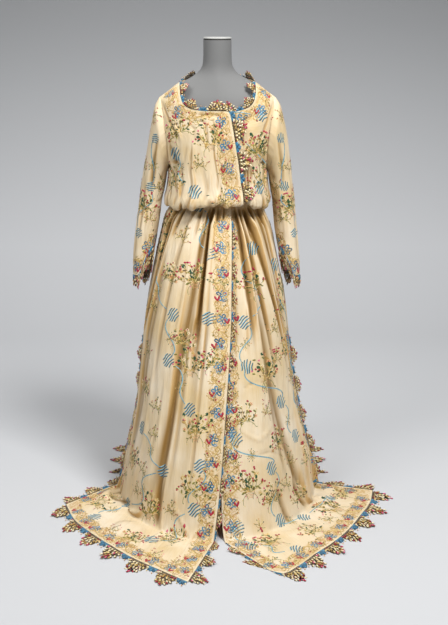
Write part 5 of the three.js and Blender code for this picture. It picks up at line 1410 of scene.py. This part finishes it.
def striped_bow(rng):
    """a lozenge of wavy stripes, with the stem's ends drawn into it"""
    m = Motif()
    t = np.linspace(0, 1, 8)
    for k, length in enumerate((27, 40, 45, 39, 26)):
        wave = np.column_stack([(t - 0.5) * length, (k - 2) * 8.2 + 1.3 * np.sin(6.6 * t + 0.4 * k)])
        width = 0.6 + 2.0 * np.sqrt(np.sin(math.pi * np.clip(t, 0.02, 0.98)))
        lean = -0.85 + rng.normal(0, 0.05)
        m.thread(turned(wave, lean), width, "pale blue", 0.8)
        # a darker thread beside each pale stripe, partly its dark outline and partly painted shadow
        # below it
        m.thread(turned(wave + (1.2, 2.3), lean), 2.8, "deep blue" if k == 2 else "slate", 0.9)
    return m.done()


def scroll(rng):
    """a gilt curl with a row of small leaves along its back"""
    m = Motif()
    t = np.linspace(0, 1, 13)
    turn, radius = 8.2 * t + rng.uniform(0, 0.5), 2.5 + 11.5 * t
    path = np.column_stack([radius * np.cos(turn), radius * np.sin(turn)])
    m.thread(path, 2.6, "gilt", 0.9)
    for k in range(4, 13, 2):
        length = rng.uniform(6, 8.5)
        floss = ("gilt", "straw", "olive")[rng.integers(3)]
        m.petal(path[k], turn[k] + 0.5, length, 3.6, floss, 0.8)
    heading = turn[-1] + 1.4
    tail = path[-1] + (12 * math.cos(heading), 12 * math.sin(heading))
    m.thread(bow(path[-1], tail, 0.2, 4), 2, "gilt", 0.8)
    return m.done()


def leafy(m, path, rng, flosses, size):
    """small leaves on alternate sides of a stem"""
    ahead = np.gradient(path, axis=0)
    for k in range(1, len(path), 2):
        side = 1 if k // 2 % 2 else -1
        angle = math.atan2(ahead[k, 1], ahead[k, 0]) + side * rng.uniform(0.6, 1.1)
        length = size * rng.uniform(0.75, 1.2)
        m.petal(path[k], angle, length, length * 0.46, flosses[rng.integers(len(flosses))], 0.7, 0.1)


def blossom(m, at, rng, size, floss, heart="apricot"):
    """five round petals and a heart"""
    spin = rng.uniform(0, 2)
    for k in range(5):
        angle = spin + 2 * math.pi * k / 5
        root = np.add(at, (1.2 * math.cos(angle), 1.2 * math.sin(angle)))
        m.petal(root, angle, size, size * 0.72, floss, 0.8)
    m.knot(at, size * 0.3, heart, 1, 0.3)


def sprig(rng):
    """a tuft of narrow leaves over two leafy stems"""
    m = Motif()
    for k in range(7):
        angle = -math.pi / 2 + (k - 3) * 0.3 + rng.normal(0, 0.12)
        reach = rng.uniform(15, 24)
        path = bow((0, 0), (reach * math.cos(angle), reach * math.sin(angle)), rng.normal(0, 0.12), 5)
        m.thread(path, 1.5, ("gilt", "olive", "straw")[k % 3], 0.6)
        floss = ("straw", "apricot", "olive", "leaf green")[rng.integers(4)]
        m.petal(path[-1], angle, 8, 3.4, floss, 0.8)
    for side in (-1, 1):
        path = bow((0, 0), (side * 17, 9), 0.15 * side, 5)
        m.thread(path, 1.4, "olive", 0.6)
        leafy(m, path, rng, ("straw", "olive"), 7)
    return m.done()


def bouquet(rng, basket=True, size=1.0, stems=14):
    """stems that fan out of a basket or a tie, with dots, leaves and pale flowers at their ends"""
    m = Motif()
    if basket:
        for k in range(5):
            half, low = 15 - 1.6 * k, 3 + 4.2 * k
            m.thread(bow((-half, low), (half, low), -0.16, 7), 1.4, ("apricot", "gilt")[k % 2], 0.8)
        for side in (-1, 1):
            m.thread(bow((side * 16, 2), (side * 9, 24), 0.1 * side, 5), 1.6,
                     "umber" if side > 0 else "olive", 0.7)
            m.thread(bow((side * 15, 3), (side * 30, -8), -0.3 * side, 6), 1.6, "gilt", 0.7)
    for k in range(stems):
        spread = (k / (stems - 1) * 2 - 1) * (1.15 if basket else 1.4)
        reach = size * rng.uniform(44, 82) * (1 - 0.25 * abs(spread) / 1.4)
        angle = -math.pi / 2 + spread + rng.normal(0, 0.08)
        end = np.array([reach * math.cos(angle), reach * math.sin(angle)])
        path = bow((4 * spread, 0), end, rng.normal(0, 0.1) + 0.1 * spread, 7)
        m.thread(path, 1.8, ("gilt", "olive", "straw")[rng.integers(3)], 0.6)
        leafy(m, path, rng, ("olive", "gilt", "olive", "gilt", "leaf green", "umber"), 12.5 * size)
        kind = rng.random()
        if kind < 0.30:
            for _ in range(2):
                m.knot(end + rng.normal(0, 5, 2), 3.7 * size, "crimson", 1.4)
        elif kind < 0.46:
            m.petal(end, angle + rng.normal(0, 0.8), 16 * size, 11 * size, "leaf green", 1.2, fat=0.6)
            m.petal(end, angle + 0.3, 8 * size, 3.5 * size, "straw", 0.7, 1.0)
        elif kind < 0.62:
            blossom(m, end, rng, 6.5 * size, "apricot", "crimson")
        elif kind < 0.84:
            blossom(m, end, rng, 7 * size, "ivory" if rng.random() < 0.6 else "straw")
        else:
            for lean in (-0.5, 0.2):
                m.petal(end, angle + lean, 8 * size, 4.6 * size, "rose", 1)
    for _ in range(5):
        at, angle = size * rng.normal(0, (19, 14)) - (0, 30 * size), rng.uniform(0, 6.3)
        floss = ("leaf green", "olive", "straw")[rng.integers(3)]
        m.petal(at, angle, 12 * size, 5.4 * size, floss, 1.0, 0.5)
    for side in (-1, 1):
        path = bow((side * 6, 4), (side * rng.uniform(24, 34), rng.uniform(24, 40)), -0.2 * side, 6)
        m.thread(path * size, 1.4, "olive", 0.6)
        leafy(m, path * size, rng, ("straw", "rose", "olive"), 8 * size)
    return m.done()


def versions(make, seed, count, **how):
    """a few versions of one motif"""
    rng = np.random.default_rng(seed)
    return [make(rng, **how) for _ in range(count)]


FLOWERS = versions(knotted_flower, 3, 4)
TULIPS = versions(tulip, 4, 3)
BOWS = versions(striped_bow, 5, 3)
SCROLLS = versions(scroll, 11, 4)
SPRIGS = versions(sprig, 6, 4)
BASKETS = versions(bouquet, 8, 4)
SPRAYS = versions(bouquet, 9, 4, basket=False, size=0.9, stems=13)
LITTLE = versions(bouquet, 10, 3, basket=False, size=0.55, stems=8)
print("triangles: flower", len(FLOWERS[0][1]), "basket", len(BASKETS[0][1]))


# %% Laying the motifs on the silk
LIFT = 0.00055    # the needlework lies this far out from the middle of the silk, in metres
MOST_STRETCH = 1.4
TRIES = 500


def side_lengths(points, faces):
    """two sides of every face, added up"""
    return np.linalg.norm(np.diff(points[faces], axis=1), axis=-1).sum()


def stitch(work, cloth, place, motif, angle=0.0, size=1.0):
    """lays a motif round a grid place, upright as someone sees it who looks at the cloth; where the
    cloth is too skewed for it, it is left out"""
    points, faces, floss = motif
    flat = points[:, :2] * MM * size
    placed = cloth.lay(place, flat, LIFT + points[:, 2] * MM, angle)
    if side_lengths(placed, faces) < MOST_STRETCH * side_lengths(flat, faces):
        work.lay(placed, faces, floss, flip=True)


def ribbon(work, cloth, i, j, width, floss, rise):
    """a thread along a path of grid places; width may change along it"""
    p, n = cloth.sample(i, j)
    aside = unit(np.cross(n, np.gradient(p, axis=0))) * np.reshape(width, (-1, 1)) / 2 * MM
    p = p + n * LIFT
    points = np.stack([p - aside, p + n * rise * MM, p + aside], axis=1).reshape(-1, 3)
    a = np.arange(len(p) - 1)[:, None] * 3
    faces = np.concatenate([a + quad for quad in ((0, 3, 4), (0, 4, 1), (1, 4, 5), (1, 5, 2))])
    work.lay(points, faces, np.full(len(faces), FLOSS_NAMES.index(floss)), flip=True)


def inward(cloth, edge, a, t):
    """grid places at a along an edge and t into the cloth from it, both in metres"""
    rows, cols = (np.arange(n) for n in cloth.p.shape[:2])
    if edge in ("first", "last"):
        i = np.interp(a, cloth.down[:, 0 if edge == "first" else -1], rows)
        lines = cloth.across[np.round(i).astype(int)]
        reach = [t_ if edge == "first" else line[-1] - t_ for t_, line in zip(t, lines)]
        return i, np.array([np.interp(r, line, cols) for r, line in zip(reach, lines)])
    j = np.interp(a, cloth.across[0 if edge == "top" else -1], cols)
    lines = cloth.down[:, np.round(j).astype(int)].T
    reach = [t_ if edge == "top" else line[-1] - t_ for t_, line in zip(t, lines)]
    return np.array([np.interp(r, line, rows) for r, line in zip(reach, lines)]), j


def border(work, cloth, edge, start, end, seed, depth, step=0.079):
    """gilt scrolls with knotted flowers and tulips along an edge from start to end"""
    def spot(at, deep):
        i, j = inward(cloth, edge, np.array([at]), np.array([deep]))
        return i[0], j[0]

    rng = np.random.default_rng(seed)
    a = np.arange(start, end, 0.007)
    for wave, swing, strands, phase in ((0.158, 0.62, 2, 0), (0.079, 0.72, 1, 4)):
        ahead = depth * (1 + swing * np.sin(2 * math.pi * a / wave + phase + 0.5 * np.sin(23 * a)))
        for k in range(strands):
            loose = 0.0016 * np.sin(71 * a + k)
            i, j = inward(cloth, edge, a, ahead + (k - (strands - 1) / 2) * 0.0042 + loose)
            ribbon(work, cloth, i, j, 2.1, "gilt" if k != 1 else "straw", 0.9)
    pitch = 0.026
    for k in range(int((end - start) / pitch)):
        place = spot(start + pitch * (k + rng.uniform(0.3, 0.7)), depth * (1.45 if k % 2 else 0.55))
        stitch(work, cloth, place, SCROLLS[rng.integers(4)], rng.uniform(0, 6.3))
    pitch = 0.0085
    for k in range(int((end - start) / pitch)):
        place = spot(start + pitch * (k + rng.uniform(0.1, 0.9)), depth * rng.uniform(0.3, 1.75))
        leaf = Motif()
        heading = rng.uniform(0, 2 * math.pi)
        if k % 7 == 3:
            leaf.knot((5, 5), 3.4, "crimson", 1.3)
        for lean in (-0.7, 0, 0.7):
            length = rng.uniform(6.5, 8.9)
            floss = ("gilt", "straw", "gilt", "olive", "gilt", "umber", "apricot")[rng.integers(7)]
            leaf.petal((0, 0), heading + lean, length, 3.8, floss, 0.9, 0.2)
        stitch(work, cloth, place, leaf.done())
    count = max(1, round((end - start) / step))
    for k in range(count):
        at = start + (end - start) * (k + 0.5) / count + rng.normal(0, 0.003)
        place = spot(at, depth * rng.uniform(0.9, 1.1))
        stitch(work, cloth, place, FLOWERS[rng.integers(4)], rng.normal(0, 0.5))
        side = -1 if k % 2 else 1
        points, faces, floss = TULIPS[rng.integers(3)]
        shifted = points + (side * rng.uniform(14, 18), rng.uniform(17, 22), 0)
        stitch(work, cloth, place, (shifted, faces, floss), rng.normal(0, 0.12))


def chain(work, cloth, ties, seed, size=1.1):
    """bows at the given (column, row) places, joined by S-curved stems with a sprig half way"""
    rng = np.random.default_rng(seed)
    for number, (c, row) in enumerate(ties):
        stitch(work, cloth, cloth.place(c, row), BOWS[number % 3], rng.normal(0, 0.25), size)
        if number + 1 == len(ties):
            break
        here, there = np.array(cloth.place(c, row)), np.array(cloth.place(*ties[number + 1]))
        length = np.linalg.norm(cloth.sample(*here)[0] - cloth.sample(*there)[0])
        gap = 0.019 / length
        t = np.linspace(gap, 1 - gap, max(6, int(length / 0.007)))
        swing = (1 if number % 2 else -1) * 0.16 * length
        i = here[0] + (there[0] - here[0]) * t
        j = here[1] + (there[1] - here[1]) * t
        pitch = np.linalg.norm(cloth.sample(here[0], here[1] + 1)[0] - cloth.sample(*here)[0])
        j = j + swing / pitch * np.sin(2 * math.pi * t)
        width = 2.6 + 1.8 * np.sin(math.pi * t)
        ribbon(work, cloth, i, j, width, "pale blue", 0.9)
        vein = "slate" if number % 2 else "deep blue"
        ribbon(work, cloth, i, j + 0.0012 / pitch, 1.3, vein, 1.1)
        middle = len(t) // 2
        for way in (0.5, -2.6):
            stitch(work, cloth, (i[middle], j[middle]), SPRIGS[rng.integers(4)],
                   way + rng.normal(0, 0.3), 0.8)


def scatter(work, cloth, kinds, places, seed):
    """bouquets and sprigs at (column, row) places"""
    rng = np.random.default_rng(seed)
    for c, row in places:
        stitch(work, cloth, cloth.place(c, row), kinds[rng.integers(len(kinds))], rng.normal(0, 0.16),
               rng.uniform(0.9, 1.1))


def fill(work, cloth, taken, columns, rows, gap, seed):
    """small sprays and sprigs at places drawn by lot, wherever the gap to all the others allows it"""
    rng = np.random.default_rng(seed)
    spots = [cloth.sample(*cloth.place(c, row))[0] for c, row in taken]
    for _ in range(TRIES):
        place = cloth.place(rng.uniform(*columns), rng.uniform(*rows))
        here = cloth.sample(*place)[0]
        if min(np.linalg.norm(here - spot) for spot in spots) > gap:
            spots.append(here)
            motif = (LITTLE if rng.random() < 0.7 else SPRIGS)[rng.integers(3)]
            stitch(work, cloth, place, motif, rng.normal(0, 0.3), rng.uniform(0.9, 1.15))


# %% The two fronts
def length_at(cloth, row, column=0):
    """how far down a column a row lies, in metres"""
    return float(np.interp(row, cloth.rows, cloth.down[:, column]))


def embroider(cloth, seed, borders, chains, baskets, sprays, fills):
    """one panel's needlework: borders as edge, start, end, number and depth, chains of bows,
    baskets and sprays at (column, row) places, and fills as columns, rows and the least gap"""
    work = Work()
    for edge, start, end, number, depth in borders:
        border(work, cloth, edge, start, end, seed + number, depth)
    for number, ties in enumerate(chains):
        chain(work, cloth, ties, seed + 10 + number)
    scatter(work, cloth, BASKETS, baskets, seed + 20)
    scatter(work, cloth, SPRAYS, sprays, seed + 21)
    taken = sum(chains, []) + baskets + sprays
    for number, (columns, rows, gap) in enumerate(fills):
        fill(work, cloth, taken, columns, rows, gap, seed + 22 + number)
    return work


def front_borders(cloth):
    ends = cloth.down[-1]
    return (("first", 0.02, length_at(cloth, 11.6), 0, 0.036),
            ("first", length_at(cloth, 18.6), ends[0] - 0.02, 1, 0.034),
            ("hem", 0.05, cloth.across[-1, -1] - 0.05, 2, 0.034),
            ("last", length_at(cloth, SLIT_ROW, -1), ends[-1] - 0.05, 3, 0.026))


FRONT_FILLS = (((1.3, 9.7), (3.0, 11.4), 0.072), ((0.8, 9.7), (19.2, 33.4), 0.082))
needlework = {}
needlework["front_right"] = embroider(
    right, 100, front_borders(right),
    [[(8.7, 6), (5.3, 9.7)], [(4.9, 17.4), (2.5, 20.9)],
     [(8.1, 21.7), (4.9, 23), (4.8, 24.5), (2.8, 25.7)], [(1.9, 23)],
     [(6.1, 26.6), (4.2, 27.5), (6.2, 30.4), (6.6, 33)], [(1.5, 27.1), (1.6, 28.6), (3.4, 32)],
     [(9.4, 23.2), (9.3, 25.8)]],
    [(3.6, 6.4), (3.9, 21.9), (3.2, 24.7), (2.1, 26.3), (6.4, 27.9), (4.6, 29.6), (4.4, 32.9),
     (8.9, 21.2)],
    [(8.4, 9.3), (1.3, 24.5), (5.8, 21.9), (4.2, 24), (1.9, 28), (2.6, 31.6), (7.7, 32.6),
     (6.3, 25.6), (7, 4.6), (8.4, 27.6), (9.3, 19.9)],
    FRONT_FILLS)
needlework["front_left"] = embroider(
    left, 200, front_borders(left),
    [[(5.3, 3), (6.8, 9.4)], [(3.9, 20.7), (2.2, 23.2), (2.2, 24.6), (4.2, 25.8), (4.8, 26.9)],
     [(8.2, 21.6), (8.3, 24.6)], [(1.1, 26.4), (3.1, 27.4), (3.2, 30), (4.2, 31.3), (6.4, 31.9)],
     [(0.9, 29.6), (1, 31.6), (2.6, 33)], [(9.3, 25.2), (9.4, 28.6)]],
    [(8, 6.2), (3.4, 22.2), (3.5, 25), (3.9, 26.9), (1.9, 28), (5.6, 32.6), (6.9, 23.4),
     (2.2, 31.9)],
    [(7.4, 9.2), (6.2, 6.6), (5.3, 21.6), (1.9, 26), (4.4, 29.4), (3.8, 32.7), (8, 32.7),
     (7.4, 27.4), (5.6, 24.6), (3, 28.6), (9.2, 22.6)],
    FRONT_FILLS)

# %% Back
neck_from, neck_to = back.across[0, neck_back[[0, -1]]]
needlework["back"] = embroider(
    back, 300,
    (("top", neck_from, neck_to, 1, 0.036), ("hem", 0.05, back.across[-1, -1] - 0.05, 2, 0.034),
     ("first", length_at(back, SLIT_ROW, 0), back.down[-1, 0] - 0.05, 3, 0.026),
     ("last", length_at(back, SLIT_ROW, -1), back.down[-1, -1] - 0.05, 2, 0.026)),
    [[(-4.4, 4), (-3.6, 7), (-4.6, 10.4)], [(2.4, 3), (3.6, 6.2), (2.2, 10.2)],
     [(-4.6, 19.6), (-3, 21.6), (-4.2, 23.4), (-2.6, 25.2), (-3.8, 27.2), (-2.4, 29.4),
      (-3.4, 32)],
     [(-0.9, 19.4), (0.4, 21.8), (-0.6, 24), (0.7, 26.2), (-0.5, 28.4), (0.5, 31),
      (-0.4, 33)],
     [(3, 19.8), (4.4, 21.6), (2.8, 23.6), (4.3, 25.4), (2.9, 27.4), (3.9, 29.6), (2.8, 32.2)]],
    [(0, 7), (-2, 21.2), (1.9, 20.6), (-1.9, 24.9), (1.8, 25), (-1.7, 28.9), (1.9, 29.2),
     (0.2, 32.2), (-5.2, 22), (5.3, 23), (-4.9, 26.6), (4.9, 27.6), (-1.6, 32.6), (2, 32.8)],
    [(-1.9, 3.6), (4.6, 8.6), (-2.2, 9.4), (0.6, 10.4), (-1.2, 22.9), (1.4, 22.8), (-3.3, 24.4),
     (3.5, 24.6), (0.2, 25.2), (0.1, 29.8), (-5, 24.4), (5.2, 20.6), (-3.4, 30.6), (3.4, 30.9),
     (-0.2, 20.6)],
    (((-5.6, 5.6), (3, 11.4), 0.08), ((-5.6, 5.6), (19.2, 33.4), 0.09)))

# %% Sleeves
for name, seed in (("right", 400), ("left", 430)):
    cloth, work = sleeves[name], Work()
    border(work, cloth, "hem", 0.002, cloth.across[-1, -1], seed, 0.034, step=0.068)
    chain(work, cloth, [(2.8, 1), (3.6, 3.6), (2, 6.4)], seed + 1, size=0.8)
    chain(work, cloth, [(12.6, 1.2), (13.8, 3.8), (12.8, 6.4)], seed + 2, size=0.8)
    scatter(work, cloth, SPRAYS, [(4.9, 1.6), (11.2, 2.2), (15.2, 4.8)], seed + 3)
    scatter(work, cloth, BASKETS, [(2.2, 5.2), (13.2, 3.9)], seed + 4)
    scatter(work, cloth, LITTLE, [
        (1.2, 0.6), (5.4, 3.2), (0.8, 3.2), (4.6, 5.6), (14.6, 1.8), (10.2, 3.8), (12.2, 6.6)], seed + 5)
    needlework["sleeve_" + name] = work

# %% Embroidery pieces
stitched = {name: work.piece("embroidery_" + name) for name, work in needlework.items()}


# %% [markdown]
# ## The waist tape
# A narrow cotton tape draws the skirts in at the waist, where the blouse hides it.

# %% Waist tape
def tape_cloth(low=1056, high=1070, lift=2.35, rows=4):
    """a band round the gathered waist, a little outside the skirts"""
    loops = []
    tape_row, tape_z, drop = 16, 1086, 34
    for z in np.linspace(high, low, rows):
        row = tape_row + (tape_z - z) / drop
        half = [front_row(panel, np.linspace(0, 10, 60), row)[1] for panel in (RIGHT, LEFT)]
        rear = back_row(BACK, np.linspace(-6, 6, 90), row)[1]
        keep = half[1][half[1][:, 0] > half[0][0, 0] + 10]
        loop = np.concatenate([half[0][::-1], keep, rear[::-1][1:-1], half[0][-1:]])
        ahead = np.gradient(loop, axis=0)
        out = unit(np.column_stack([ahead[:, 1], -ahead[:, 0], 0 * ahead[:, 0]]))
        loop = loop + out * lift
        loop[:, 2] = z
        loops.append(loop)
    return Cloth(loops, 1, np.arange(rows), np.arange(len(loops[0])), closed=True)


def tape_material():
    """matt cotton; the slanting ribs of the twill, about 3 mm apart, keep it from looking like paper"""
    made, tree = new_material("twilled cotton tape")
    coords = add(tree, "TexCoord")
    twill = add(tree, "TexWave", {
        "Vector": coords.outputs["UV"], "Scale": 160}, bands_direction="DIAGONAL")
    tone = add(tree, "ValToRGB", {"Fac": twill.outputs["Fac"]}, stops=((0, "d8c49a"), (1, "e8d9b8")))
    bump = add(tree, "Bump", {"Height": twill.outputs["Fac"], "Strength": 0.4, "Distance": 0.0004})
    base = add(tree, "BsdfPrincipled", {"Base Color": tone, "Roughness": 0.85, "Normal": bump})
    add(tree, "OutputMaterial", {"Surface": base})
    return made


tape = tape_cloth()
waist = sheet_piece("waist_tape", tape, tape_material(), thickness=0.0016)
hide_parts("waist_tie")
